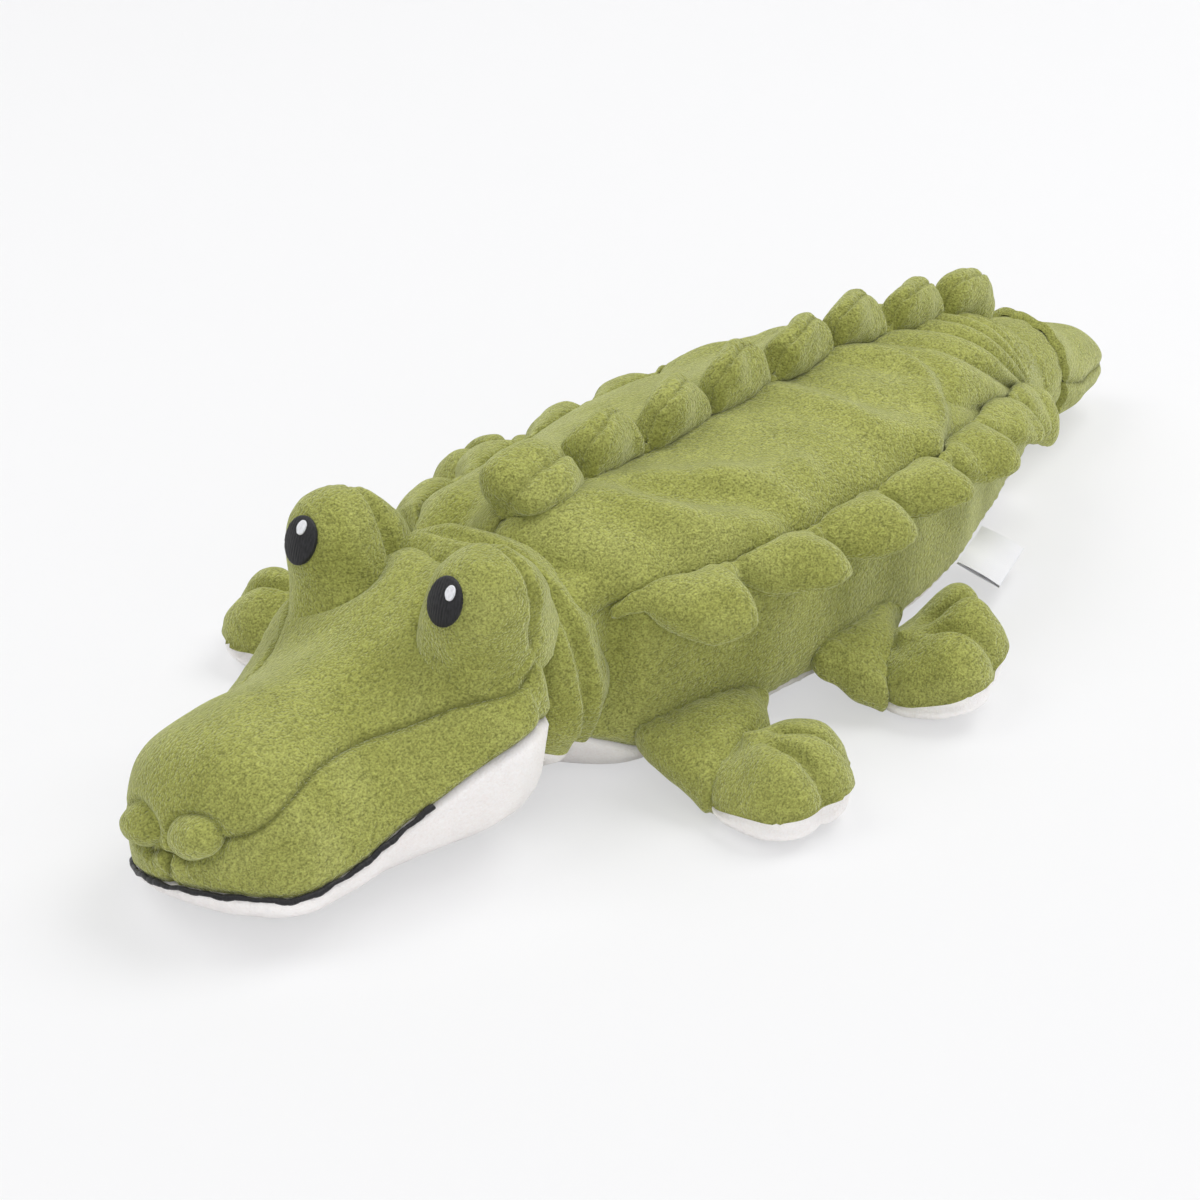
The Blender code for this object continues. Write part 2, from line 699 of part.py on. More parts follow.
def ellipsoid(name, centre, half, lean, material, parent, around=ROUND_STEPS):
    """An oval ball with its long axis leaning outwards."""
    rings = []
    levels = around // 2
    for i in range(1, levels):
        polar = HALF_TURN * i / levels
        ring = []
        for j in range(around):
            turn = 2 * HALF_TURN * j / around
            ring.append(centre + leaned(np.array((
                half[0] * math.sin(polar) * math.cos(turn),
                half[1] * math.sin(polar) * math.sin(turn),
                half[2] * math.cos(polar),
            )), lean))
        rings.append(ring)
    return ring_solid(name, rings, material, parent)


def leaned(p, lean):
    """A point turned about Y by a lean, positive towards +X at the top."""
    return np.array((
        p[0] * math.cos(lean) + p[2] * math.sin(lean),
        p[1],
        p[2] * math.cos(lean) - p[0] * math.sin(lean),
    ))


def oval_patch(name, centre, half, lean, aim, size, shift, first, thick, material, parent):
    """A thin oval that lies on an oval ball, facing the aimed direction."""
    right = np.cross(aim, UP)
    right /= np.linalg.norm(right)
    up = np.cross(right, aim)
    rings = {0.0: [], 1.0: []}
    for layer in rings:
        for i in range(PATCH_STEPS, 0, -1):
            ring = []
            for j in range(PATCH_ROUND_STEPS):
                turn = 2 * HALF_TURN * j / PATCH_ROUND_STEPS
                across = size[0] / 2 * i / PATCH_STEPS * math.cos(turn) + shift[0]
                above = size[1] / 2 * i / PATCH_STEPS * math.sin(turn) + shift[1]
                ray = aim * np.mean(half) + right * across + up * above
                surface = ray / np.linalg.norm(ray / np.array(half))
                normal = surface / np.array(half) ** 2
                normal /= np.linalg.norm(normal)
                ring.append(centre + leaned(surface + normal * (first + thick * layer), lean))
            rings[layer].append(ring)
    loops = rings[0.0][::-1] + rings[1.0]
    return ring_solid(name, loops, material, parent)


def make_eyes(head_cutter, joint):
    """Each turret with its black embroidered eye and the white glint on it."""
    for side, word in ((1, "left"), (-1, "right")):
        centre = np.array((side * EYE_APART / 2, -EYE_FORWARD, EYE_TURRET_HEIGHT - NECK_HEIGHT))
        lean = side * math.radians(EYE_LEAN_DEG)
        turret = ellipsoid("eye_turret_" + word, centre, EYE_TURRET_HALF, lean, "green_plush", joint)
        cut(turret, head_cutter)
        out = math.radians(EYE_OUT_DEG)
        up = math.radians(EYE_UP_DEG)
        aim = np.array((side * math.sin(out) * math.cos(up), -math.cos(out) * math.cos(up), math.sin(up)))
        oval_patch("eye_" + word, centre, EYE_TURRET_HALF, lean, aim, EYE_SIZE, (0.0, 0.0),
                   SEAT_GAP, EYE_THICK, "black_thread", joint)
        shift = (0.0, EYE_SIZE[1] * GLINT_UP_SHARE)
        oval_patch("eye_glint_" + word, centre, EYE_TURRET_HALF, lean, aim, GLINT_SIZE, shift,
                   2 * SEAT_GAP + EYE_THICK, EYE_THICK / 2, "white_thread", joint)


def make_nostrils(head_cutter, joint):
    for side, word in ((1, "left"), (-1, "right")):
        ahead = HEAD_LENGTH - NOSTRIL_SETBACK
        centre = np.array((side * NOSTRIL_APART / 2, -ahead, NOSTRIL_HEIGHT - NECK_HEIGHT))
        bump = ellipsoid("nostril_" + word, centre, NOSTRIL_HALF, 0.0, "green_plush", joint,
                         PATCH_ROUND_STEPS)
        cut(bump, head_cutter)


def flank_point(body, y, z):
    """The body's left side at a place along it and a height."""
    share = (y - body.start) / (body.end - body.start)
    low, high = QUARTER_TURN, HALF_TURN
    for _ in range(HALVINGS):
        turn = (low + high) / 2
        if body.point(share, turn)[2] > z:
            low = turn
        else:
            high = turn
    return body.point(share, low)


def side_place(body, y, z, width, off):
    """A point off the body's left side and the side's angle from the Y axis, for what is sewn there."""
    ahead = flank_point(body, y - width / 2, z)
    behind = flank_point(body, y + width / 2, z)
    line = behind - ahead
    yaw = -math.atan2(line[0], line[1])
    outward = np.array((math.cos(yaw), math.sin(yaw), 0.0))
    return flank_point(body, y, z) + outward * off, yaw


def hip_place(body, y):
    """The hip's axis and how far it turns from the Y axis, on the left side."""
    return side_place(body, y, HIP_HEIGHT, LEG_ROOT_WIDTH, LEG_ROOT_RADIUS - LEG_ROOT_SEAT)


def ankle_place(word):
    """A left leg's ankle centre in its hip's frame."""
    return np.array((LEG_LENGTHS[word], LEG_SWEEPS[word], ANKLE_HEIGHT - HIP_HEIGHT))


def sleeve_loop(across, full, ankle, foot_yaw):
    """One closed loop round a leg, from root to ankle and back under, at a share of its width."""
    open_angle = math.radians(ANKLE_OPEN_DEG) * full
    root_y = across * LEG_ROOT_WIDTH / 2
    ankle_y = across * ANKLE_WIDTH / 2

    def root_point(turn):
        reach = LEG_ROOT_RADIUS * full
        return np.array((reach * math.cos(turn), root_y, reach * math.sin(turn)))

    def ankle_point(turn):
        reach = ANKLE_RADIUS + SEAT_GAP
        x = reach * math.cos(turn)
        return ankle + np.array((
            x * math.cos(foot_yaw) - ankle_y * math.sin(foot_yaw),
            x * math.sin(foot_yaw) + ankle_y * math.cos(foot_yaw),
            reach * math.sin(turn),
        ))

    loop = [root_point(math.radians(degrees)) for degrees in LEG_ROOT_DEGS]
    bottom = (loop[-1] + ankle_point(HALF_TURN + open_angle)) / 2
    loop.append(bottom)
    loop += [ankle_point(HALF_TURN + open_angle * k) for k in spaced(1.0, -1.0, ANKLE_STEPS)]
    crown = (loop[-1] + loop[0]) / 2 + UP * LEG_CROWN * full
    loop.append(crown)
    return loop


def sleeve(name, side, ankle, foot_yaw, joint):
    """A leg from its root seam to the ankle, its two long edges rounded over."""
    rings = [sleeve_loop(across, full, ankle, foot_yaw) for across, full in LEG_SECTION_SHARES]
    rings = np.array(rings) * np.array((side, 1.0, 1.0))
    return loop_solid(name, rings, "green_plush", joint)


def loop_solid(name, rings, material, parent):
    """A closed solid through loops of points, each end closed by one many-sided face."""
    count, around = rings.shape[:2]
    faces = ring_faces(count, around)
    faces.append(tuple(range(around))[::-1])
    faces.append(tuple((count - 1) * around + j for j in range(around)))
    return add_mesh(name, rings.reshape(-1, 3), faces, material, parent)


class Foot:
    """A domed foot about its ankle, its toes parted by creases and turned from the ankle's line."""

    def __init__(self, side, toe_turn):
        self.flip = np.array((side, 1.0, 1.0))
        self.toe_turn = toe_turn
        self.turns = [2 * HALF_TURN * j / FOOT_ROUND_STEPS for j in range(FOOT_ROUND_STEPS)]
        self.reaches = [math.sin(QUARTER_TURN * i / FOOT_DOME_STEPS) for i in range(FOOT_DOME_STEPS, 0, -1)]

    def crease(self, turn, reach):
        """How much a toe crease draws in the surface, by angle from the toes' direction."""
        pressed = 0.0
        for k in range(TOE_COUNT - 1):
            line = math.radians(TOE_SPREAD_DEG * (k - (TOE_COUNT - 2) / 2))
            away = math.atan2(math.sin(turn - line), math.cos(turn - line))
            pressed += math.exp(-(away / math.radians(TOE_CREASE_WIDTH_DEG)) ** 2)
        near_rim = min(1.0, max(0.0, (reach - TOE_CREASE_FROM_SHARE) / TOE_CREASE_RUN_SHARE))
        return 1 - TOE_CREASE_SHARE * pressed * near_rim

    def point(self, turn, reach, above, inset):
        """A point of the foot: its reach is 0 at the middle and 1 at the sole's rim."""
        drawn = self.crease(turn, reach)
        ahead = FOOT_OUT + (FOOT_LENGTH / 2 - inset) * reach * math.cos(turn) * drawn
        aside = (FOOT_WIDTH / 2 - inset) * reach * math.sin(turn) * drawn
        x = ahead * math.cos(self.toe_turn) - aside * math.sin(self.toe_turn)
        y = ahead * math.sin(self.toe_turn) + aside * math.cos(self.toe_turn)
        if above:
            dome = math.sqrt(max(1 - reach * reach, 0.0)) * (1 + drawn) / 2
            z = SOLE_RIM + (FOOT_HEIGHT - SOLE_RIM - inset) * dome
        else:
            power = SOLE_POWER_SHARE + SOLE_TOE_POWER_SHARE * max(math.cos(turn), 0.0)
            z = SOLE_RIM - (SOLE_RIM + FLOOR_CUT - inset) * (1 - reach ** power) ** (1 / power)
            z = max(z, FLOOR + inset)
        return np.array((x, y, z - ANKLE_HEIGHT)) * self.flip

    def loops(self, reaches, above, inset):
        return [[self.point(turn, reach, above, inset) for turn in self.turns] for reach in reaches]

    def shell(self, name, above, rim_lift, material, joint):
        """The upper or the sole, one plush thick, open where the two are sewn together."""
        inner = self.loops(self.reaches, above, PLUSH)
        outer = self.loops(self.reaches, above, 0.0)
        rim = len(inner) - 1
        rings = np.array(inner[::-1] + outer)
        rings[rim:rim + 2, :, 2] += rim_lift
        poles = [self.point(0.0, 0.0, above, inset) for inset in (PLUSH, 0.0)]
        ring_solid(name, rings, material, joint, poles)

    def stuffing(self, name, joint):
        """The stuffing inside, on the same rows as the shells."""
        inset = PLUSH + FILL_SLACK
        reaches = self.reaches[1:]
        rings = self.loops(reaches[::-1], True, inset) + self.loops(reaches, False, inset)
        ring_solid(name, rings, "filling", joint)


def hip_socket(name, hip):
    """A round bar along the hip's axis, hidden, that cuts the seat of a leg's root."""
    reach = LEG_ROOT_RADIUS + SEAT_GAP
    end = LEG_ROOT_WIDTH / 2 + SEAT_GAP
    turns = [2 * HALF_TURN * j / SOCKET_STEPS for j in range(SOCKET_STEPS)]
    rings = [[(reach * math.cos(turn), y, reach * math.sin(turn)) for turn in turns] for y in (-end, end)]
    return ring_solid(name, rings, "filling", hip)


def make_leg(body, word, side, hip_y, cut_pieces):
    """One leg: its sleeve on the hip, and the foot's upper, sole and stuffing on the ankle."""
    flip = np.array((side, 1.0, 1.0))
    place, yaw = hip_place(body, hip_y)
    hip = add_joint(word + "_hip_axis", place * flip, side * yaw)
    foot_yaw = math.radians(FOOT_YAW_DEGS[word]) - yaw
    ankle = ankle_place(word)
    ankle_joint = add_joint(word + "_ankle_axis", ankle * flip, side * foot_yaw, hip)
    sleeve(word + "_leg", side, ankle, foot_yaw, hip)
    foot = Foot(side, math.radians(TOE_TURN_DEGS[word]))
    foot.shell(word + "_foot", True, SEAM_GAP / 2, "green_plush", ankle_joint)
    foot.shell(word + "_sole", False, -SEAM_GAP / 2, "cream_plush", ankle_joint)
    foot.stuffing(word + "_foot_stuffing", ankle_joint)
    cutter = hip_socket(word + "_hip_socket", hip)
    for piece in cut_pieces:
        cut(piece, cutter)


def make_label(body):
    """The bare side label, a flat tape that hangs from the left belly seam to the floor."""
    place, yaw = side_place(body, LABEL_Y, LABEL_HEIGHT, LABEL_WIDTH, SEAT_GAP)
    joint = add_joint("label_axis", place, yaw)
    drop = math.radians(LABEL_DROP_DEG)
    out = np.array((math.cos(drop), 0.0, -math.sin(drop)))
    normal = np.array((math.sin(drop), 0.0, math.cos(drop)))
    along = np.array((0.0, LABEL_WIDTH / 2, 0.0))
    corners = [[edge - along, edge + along] for edge in (out * 0.0, out * LABEL_LENGTH)]
    grid = [[[p + normal * layer * LABEL_THICK / 2 for p in row] for row in corners] for layer in (-1, 1)]
    slab("side_label", grid[1], grid[0], "white_tape", joint)


def centre_on_origin():
    """Moves the whole toy so that the middle of its footprint is the origin."""
    bpy.context.view_layer.update()
    corners = []
    for obj in bpy.data.objects:
        if obj.type == "MESH" and not obj.hide_render:
            corners += [obj.matrix_world @ vertex.co for vertex in obj.data.vertices]
    corners = np.array(corners)
    middle = (corners.min(axis=0) + corners.max(axis=0)) / 2
    for obj in bpy.data.objects:
        if obj.parent is None:
            obj.location.x -= float(middle[0])
            obj.location.y -= float(middle[1])


def main():
    clear_scene()
    body = body_form()
    pieces = make_body(body)
    make_scutes(body)

    neck = add_joint("neck_turn_axis", (0.0, NECK_Y, NECK_HEIGHT))
    ball("neck_roll", NECK_RADIUS, "green_plush", neck)
    nod = add_joint("neck_nod_axis", (0.0, 0.0, 0.0), math.radians(HEAD_YAW_DEG), neck)
    head = head_form()
    make_head(head, nod)
    mouth_stitch(head, nod)
    head_cutter = head_shape(head, nod)
    make_eyes(head_cutter, nod)
    make_nostrils(head_cutter, nod)

    gather = add_joint("tail_swing_axis", (0.0, TAIL_Y, TAIL_HEIGHT))
    ball("tail_gather", TAIL_BALL_RADIUS, "green_plush", gather, 2 * PLEAT_COUNT, PLEAT_COUNT, PLEAT_DEPTH)
    make_tail(tail_form(), gather)

    left = [pieces["flank_panel_left"], pieces["belly_panel"]]
    right = [pieces["flank_panel_right"], pieces["belly_panel"]]
    for side, word, cut_pieces in ((1, "left", left), (-1, "right", right)):
        make_leg(body, "front_" + word, side, FRONT_HIP_Y, cut_pieces)
        make_leg(body, "hind_" + word, side, HIND_HIP_Y, cut_pieces)
    make_label(body)
    centre_on_origin()


main()
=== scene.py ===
"""The looks of a plush crocodile: its sewn plush skins over the frame, the stage, the light and the camera.

Every length is in metres. The toy's own frame has its nose to -Y, its left to +X and its spine on X = 0,
and one shift carries it to the frame's place.
"""

import json
import math

import bpy
import numpy as np
from mathutils import Matrix, Vector, noise

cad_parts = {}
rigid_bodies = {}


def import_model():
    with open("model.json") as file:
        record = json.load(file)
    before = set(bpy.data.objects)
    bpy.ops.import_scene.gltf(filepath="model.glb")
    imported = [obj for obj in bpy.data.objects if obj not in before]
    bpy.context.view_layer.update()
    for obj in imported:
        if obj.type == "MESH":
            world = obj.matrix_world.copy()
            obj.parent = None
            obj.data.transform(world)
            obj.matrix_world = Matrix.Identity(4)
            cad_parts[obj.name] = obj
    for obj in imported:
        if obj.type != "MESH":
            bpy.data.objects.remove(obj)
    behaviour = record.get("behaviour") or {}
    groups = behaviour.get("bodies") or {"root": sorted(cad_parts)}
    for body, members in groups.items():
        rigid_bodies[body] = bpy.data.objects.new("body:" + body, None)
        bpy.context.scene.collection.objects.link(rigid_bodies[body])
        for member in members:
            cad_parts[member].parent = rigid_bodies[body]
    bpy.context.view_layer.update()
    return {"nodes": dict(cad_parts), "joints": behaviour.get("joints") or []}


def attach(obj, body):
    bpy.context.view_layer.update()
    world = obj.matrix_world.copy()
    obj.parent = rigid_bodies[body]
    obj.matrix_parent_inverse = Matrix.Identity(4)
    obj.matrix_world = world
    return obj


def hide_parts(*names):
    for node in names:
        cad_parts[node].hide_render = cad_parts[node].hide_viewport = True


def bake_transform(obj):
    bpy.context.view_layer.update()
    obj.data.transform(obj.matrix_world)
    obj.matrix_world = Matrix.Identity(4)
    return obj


# The default scene's own objects would count as pieces
for default in list(bpy.data.objects):
    bpy.data.objects.remove(default, do_unlink=True)

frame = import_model()

# Camera, fitted to the photograph
VIEW_AZIMUTH = 38.0
VIEW_ELEVATION = 27.0
VIEW_DISTANCE = 0.8
VIEW_TARGET = (0.006, -0.004, 0.030)
VIEW_FIELD_DEG = 19.53

# Cloth: how far edges turn in, how deep and wide the seams draw in, and how wide the painted shade along
# their hollows is
TUCK = 0.0022
HEAD_TUCK = 0.0016
SEAM_DEPTH = 0.0011
SEAM_WIDTH = 0.0017
HEAD_SEAM_DEPTH = 0.0010
HEAD_SEAM_WIDTH = 0.0011
TAIL_SEAM_DEPTH = 0.0007
TAIL_SEAM_WIDTH = 0.0013
ARCH_SEAM_DEPTH = 0.0017
ARCH_SEAM_WIDTH = 0.0013
SEAM_SHADE_WIDTH = 0.0011
BODY_SHADE_WIDTH = 0.0009
HEAD_SHADE_WIDTH = 0.0007
ARCH_SHADE_WIDTH = 0.0008

# Puckers beside a seam: their share of its depth, how many widths they reach, and their two waves per metre
PUCKER_SHARE = 0.25
ARCH_PUCKER_SHARE = 0.15
PUCKER_REACH = 3.0
PUCKER_LINE = (1.0, 1.0, 0.6)
PUCKER_WAVES = (1450.0, 2310.0)
PUCKER_SHIFT = 1.3
PUCKER_SECOND_SHARE = 0.7

# Neck
NECK_Y = -0.043
NECK_HEIGHT = 0.029
NECK_RIM = 0.0269
HEAD_YAW = math.radians(-4.0)
NOSE_ROLL = math.radians(11.0)
NOSE_ROLL_HEIGHT = 0.020
NOSE_ROLL_SPAN = (0.040, 0.085)
NOSE_ROLL_RISE = 0.010

# Body, in shares of its own sizes: along, half width, top, underside, widest height
BODY_WIDTH = 0.090
BODY_HEIGHT = 0.060
BODY_SQUARE = 0.62
BODY_START = -0.0358
BODY_END = 0.1739
BODY_SHARES = (
    (0.05, 0.76, 1.00, 0.0, 0.40),
    (0.12, 0.87, 1.00, 0.0, 0.38),
    (0.25, 0.98, 0.98, 0.0, 0.36),
    (0.42, 1.00, 0.98, 0.0, 0.36),
    (0.60, 0.92, 0.96, 0.0, 0.37),
    (0.76, 0.70, 0.91, 0.0, 0.38),
    (0.90, 0.48, 0.81, 0.0, 0.38),
)
SCUTE_SEAM_DEGS = ((0.0, 60.0), (0.45, 61.0), (0.75, 68.0), (1.0, 84.0))
BELLY_SEAM_DEG = 118.0

# Tail
TAIL_HEIGHT = 0.022
TAIL_RIM = 0.0167
TAIL_START = 0.1861
TAIL_END = 0.222
TAIL_WIDTH = 0.030
TAIL_TIP_HEIGHT = 0.030
TAIL_ROUND_SHARE = 0.45
TAIL_SHARES = (
    (0.30, 0.96, 1.06, 0.28, 0.60),
    (0.60, 0.80, 0.94, 0.26, 0.56),
    (1.00, 0.62, 0.76, 0.24, 0.48),
)

# Head, measured forward from the neck
HEAD_LENGTH = 0.092
HEAD_BACK = 0.0072
HEAD_WIDTH = 0.079
HEAD_HEIGHT = 0.058
HEAD_SQUARE = 0.85
NOSE_ROUND_SHARE = 0.22
HEAD_SHARES = (
    (0.00, 0.44, 0.67, 0.08, 0.215),
    (0.14, 0.66, 0.70, 0.03, 0.165),
    (0.30, 0.755, 0.755, 0.0, 0.225),
    (0.50, 0.81, 0.77, 0.0, 0.37),
    (0.68, 0.90, 0.83, 0.0, 0.49),
    (0.84, 0.98, 0.92, 0.0, 0.57),
    (0.94, 0.87, 0.98, 0.0, 0.55),
)
HEAD_TOP_SQUARES = (0.78, 0.83, 1.05, 1.30, 1.35, 1.10, 0.85)
TOP_SEAM_SHARES = (
    (0.0, 0.60), (0.08, 0.70), (0.18, 0.62), (0.34, 0.50), (0.49, 0.48), (0.61, 0.53), (0.725, 0.59),
    (0.825, 0.68), (1.0, 0.72),
)

# Eyes and nostrils
EYE_FORWARD = 0.0188
EYE_APART = 0.042
TURRET_HEIGHT = 0.0550
TURRET_HALF = (0.0115, 0.0120, 0.0155)
TURRET_LEAN = math.radians(10.0)
NOSTRIL_HALF = (0.0066, 0.0054, 0.0047)
NOSTRIL_APART = 0.0155
NOSTRIL_FORWARD = 0.0896
NOSTRIL_HEIGHT = 0.0238
NOSTRIL_SUNK = 0.0012

# Legs
HIP_HEIGHT = 0.0130
LEG_ROOT_WIDTH = 0.036
LEG_ROOT_HALF_HIGH = 0.0056
ANKLE_HEIGHT = 0.0090
ANKLE_MIDDLE = 0.0068
ANKLE_HALF_HIGH = 0.0056
ANKLE_HALF_WIDE = 0.0132
LEG_WORDS = ("front_left", "front_right", "hind_left", "hind_right")
SIDES = (("left", 1), ("right", -1))

JOINTS = {joint["name"]: joint for joint in frame["joints"]}
SHIFT = np.array(JOINTS["neck_turn"]["pos_m"]) - np.array((0.0, NECK_Y, NECK_HEIGHT))
UP = np.array((0.0, 0.0, 1.0))
TURN = 2 * math.pi
TINY = 1e-12
SMALL = 1e-9
FAR = 1e9


# Curves and forms


def smooth_rows(rows, share):
    """The values of a table at some shares, on smooth curves through its rows."""
    table = np.array(rows, float)
    at, values = table[:, 0], table[:, 1:]
    slopes = np.gradient(values, at, axis=0)
    share = np.asarray(share, float)
    i = np.clip(np.searchsorted(at, share) - 1, 0, len(at) - 2)
    span = (at[i + 1] - at[i])[..., None]
    t = ((share - at[i]) / (at[i + 1] - at[i]))[..., None]
    start = (1 + 2 * t) * (1 - t) ** 2 * values[i] + t * (1 - t) ** 2 * span * slopes[i]
    return start + t * t * (3 - 2 * t) * values[i + 1] + t * t * (t - 1) * span * slopes[i + 1]


def ease(x, low, high):
    """0 below low, 1 above high and smooth between."""
    t = np.clip((x - low) / (high - low), 0.0, 1.0)
    return t * t * (3 - 2 * t)


def hill(away, width):
    """1 at no distance, and nearly 0 from two widths on."""
    return np.exp(-((away / width) ** 2))


def bulge(x, power):
    """A power of x that keeps its sign: below 1 it squares a round section."""
    return np.sign(x) * np.abs(x) ** power


BLUNT_POWERS = (3.0, 2.4)


def blunt(near):
    return (1 - np.clip(near, 0, 1) ** BLUNT_POWERS[0]) ** (1 / BLUNT_POWERS[1])


def unit(vectors, least=0.0):
    return vectors / np.maximum(np.linalg.norm(vectors, axis=-1, keepdims=True), least)


def spread(first, last, count):
    return list(np.linspace(first, last, count))


def ring(count):
    """Even turns all round, without a last one on the first."""
    return np.linspace(0, TURN, count, endpoint=False)


class Form:
    """A stuffed shape: oval sections between two ends of one axis along Y."""

    def __init__(self, rows, start, end, round_start=0.0, round_end=0.0):
        self.rows = rows
        self.start = start
        self.end = end
        self.round_start = round_start
        self.round_end = round_end

    def grid(self, shares, turns_at):
        """Points at each share, at the turns that turns_at gives there."""
        share = np.array([[s] * len(turns_at(s)) for s in shares], float)
        turn = np.array([turns_at(s) for s in shares], float)
        return self.points(share, turn)

    def points(self, share, turn):
        values = smooth_rows(self.rows, share)
        width, top, low, middle, top_square, low_square = np.moveaxis(values, -1, 0)
        full = np.ones_like(share)
        if self.round_start:
            full = np.where(share < self.round_start, blunt(1 - share / self.round_start), full)
        if self.round_end:
            full = np.where(share > 1 - self.round_end, blunt(1 - (1 - share) / self.round_end), full)
        side, up = np.sin(turn), np.cos(turn)
        power = np.where(up < 0, low_square, top_square)
        x = full * width * bulge(side, power)
        reach = np.where(up > 0, top - middle, middle - low)
        z = np.maximum(middle + full * reach * bulge(up, power), 0.0)
        y = self.start + share * (self.end - self.start)
        return np.stack((x, y, z), -1)


def sized_rows(shares, width, height, top_square, low_square):
    rows = []
    for share, wide, top, under, middle in shares:
        sizes = (wide * width / 2, top * height, under * height, middle * height)
        rows.append((share, *sizes, top_square, low_square))
    return rows


def rim_row(share, reach, height):
    return (share, reach, height + reach, height - reach, height, 1.0, 1.0)


BODY = Form(
    [rim_row(0.0, NECK_RIM, NECK_HEIGHT)]
    + sized_rows(BODY_SHARES, BODY_WIDTH, BODY_HEIGHT, BODY_SQUARE, BODY_SQUARE)
    + [rim_row(1.0, TAIL_RIM, TAIL_HEIGHT)],
    BODY_START, BODY_END,
)
HEAD = Form(
    [sized_rows([row], HEAD_WIDTH, HEAD_HEIGHT, square, HEAD_SQUARE)[0]
     for row, square in zip(HEAD_SHARES, HEAD_TOP_SQUARES)]
    + [rim_row(1.0, NECK_RIM, NECK_HEIGHT)],
    -HEAD_LENGTH, -HEAD_BACK, round_start=NOSE_ROUND_SHARE,
)
TAIL = Form(
    [rim_row(0.0, TAIL_RIM, TAIL_HEIGHT)]
    + sized_rows(TAIL_SHARES, TAIL_WIDTH, TAIL_TIP_HEIGHT, 1.0, BODY_SQUARE),
    TAIL_START, TAIL_END, round_end=TAIL_ROUND_SHARE,
)


# Places


def to_frame(points):
    """From the toy's own frame to the frame's place."""
    return points + SHIFT


def rolled(points):
    """The nose turned a little about its own axis, as the toy has settled."""
    roll = NOSE_ROLL * ease(-points[..., 1], *NOSE_ROLL_SPAN) * ease(points[..., 2], 0.0, NOSE_ROLL_RISE)
    x, z = points[..., 0], points[..., 2] - NOSE_ROLL_HEIGHT
    return np.stack((x * np.cos(roll) - z * np.sin(roll), points[..., 1],
                     x * np.sin(roll) + z * np.cos(roll) + NOSE_ROLL_HEIGHT), -1)


def head_to_frame(points):
    """From the head's frame, about the neck and along the floor, to the frame's place."""
    points = rolled(points)
    c, s = math.cos(HEAD_YAW), math.sin(HEAD_YAW)
    turned = np.stack((c * points[..., 0] - s * points[..., 1], s * points[..., 0] + c * points[..., 1],
                       points[..., 2]), -1)
    return to_frame(turned + np.array((0.0, NECK_Y, 0.0)))


def axis_frame(name, side):
    """A leg joint's place with its outward and forward-to-tail directions."""
    place = np.array(JOINTS[name]["pos_m"])
    axis = np.array(JOINTS[name]["axis"])
    axis = axis * np.sign(axis[1])
    out = np.cross(axis, UP)
    out = out * side * np.sign(out[0])
    return place, out / np.linalg.norm(out), axis


# Relief


def outward(grid, around=False):
    """Unit normals of a grid of points, on the side away from its middle."""
    along = np.gradient(grid, axis=0)
    if around:
        across = np.roll(grid, -1, axis=1) - np.roll(grid, 1, axis=1)
    else:
        across = np.gradient(grid, axis=1)
    normal = unit(np.cross(along, across), TINY)
    away = grid - grid.reshape(-1, 3).mean(axis=0)
    if (normal * away).sum() < 0:
        normal = -normal
    return normal


def line_distance(points, line):
    """Distance of each point from a line of points."""
    line = np.array(line, float)
    best = np.full(points.shape[:-1], FAR)
    for a, b in zip(line[:-1], line[1:]):
        d = b - a
        t = np.clip(((points - a) @ d) / max(d @ d, TINY), 0, 1)
        best = np.minimum(best, np.linalg.norm(points - a - t[..., None] * d, axis=-1))
    return best


def fine_line(points, steps=6):
    """A line of points with more of them, on a smooth curve."""
    points = np.array(points, float)
    if len(points) < 3:
        return points
    at = np.arange(len(points), dtype=float)
    rows = np.column_stack((at, points))
    return smooth_rows(rows, np.linspace(0, len(points) - 1, (len(points) - 1) * steps + 1))


def groove(grid, line, depth, width, pucker=PUCKER_SHARE):
    """How far a seam draws each point in, with small puckers that fade away from it."""
    away = line_distance(grid, line)
    along = grid @ np.array(PUCKER_LINE)
    second = PUCKER_SECOND_SHARE * np.sin(along * PUCKER_WAVES[1] + PUCKER_SHIFT)
    ripple = np.sin(along * PUCKER_WAVES[0]) + second
    near = hill(away, width)
    return depth * near + pucker * depth * 0.5 * ripple * hill(away, PUCKER_REACH * width) * (1 - near)


SEED_STEP = 7.3


def lumps(points, size, amount, seed):
    """Smooth unevenness of a size and amount, the same on each run."""
    flat = points.reshape(-1, 3) / size + seed * SEED_STEP
    values = [noise.noise(Vector(p)) for p in flat]
    return amount * np.array(values).reshape(points.shape[:-1])


def lumpy(points, layers):
    """Unevenness in layers, each a size, an amount and a seed."""
    return sum(lumps(points, *layer) for layer in layers)


PLEAT_POWER = 0.8
PLEAT_MIDDLE = 0.6


def pleats(angle):
    """Round ridges with sharp valleys, one for each half turn of the angle."""
    return np.abs(np.sin(angle)) ** PLEAT_POWER - PLEAT_MIDDLE


# Meshes


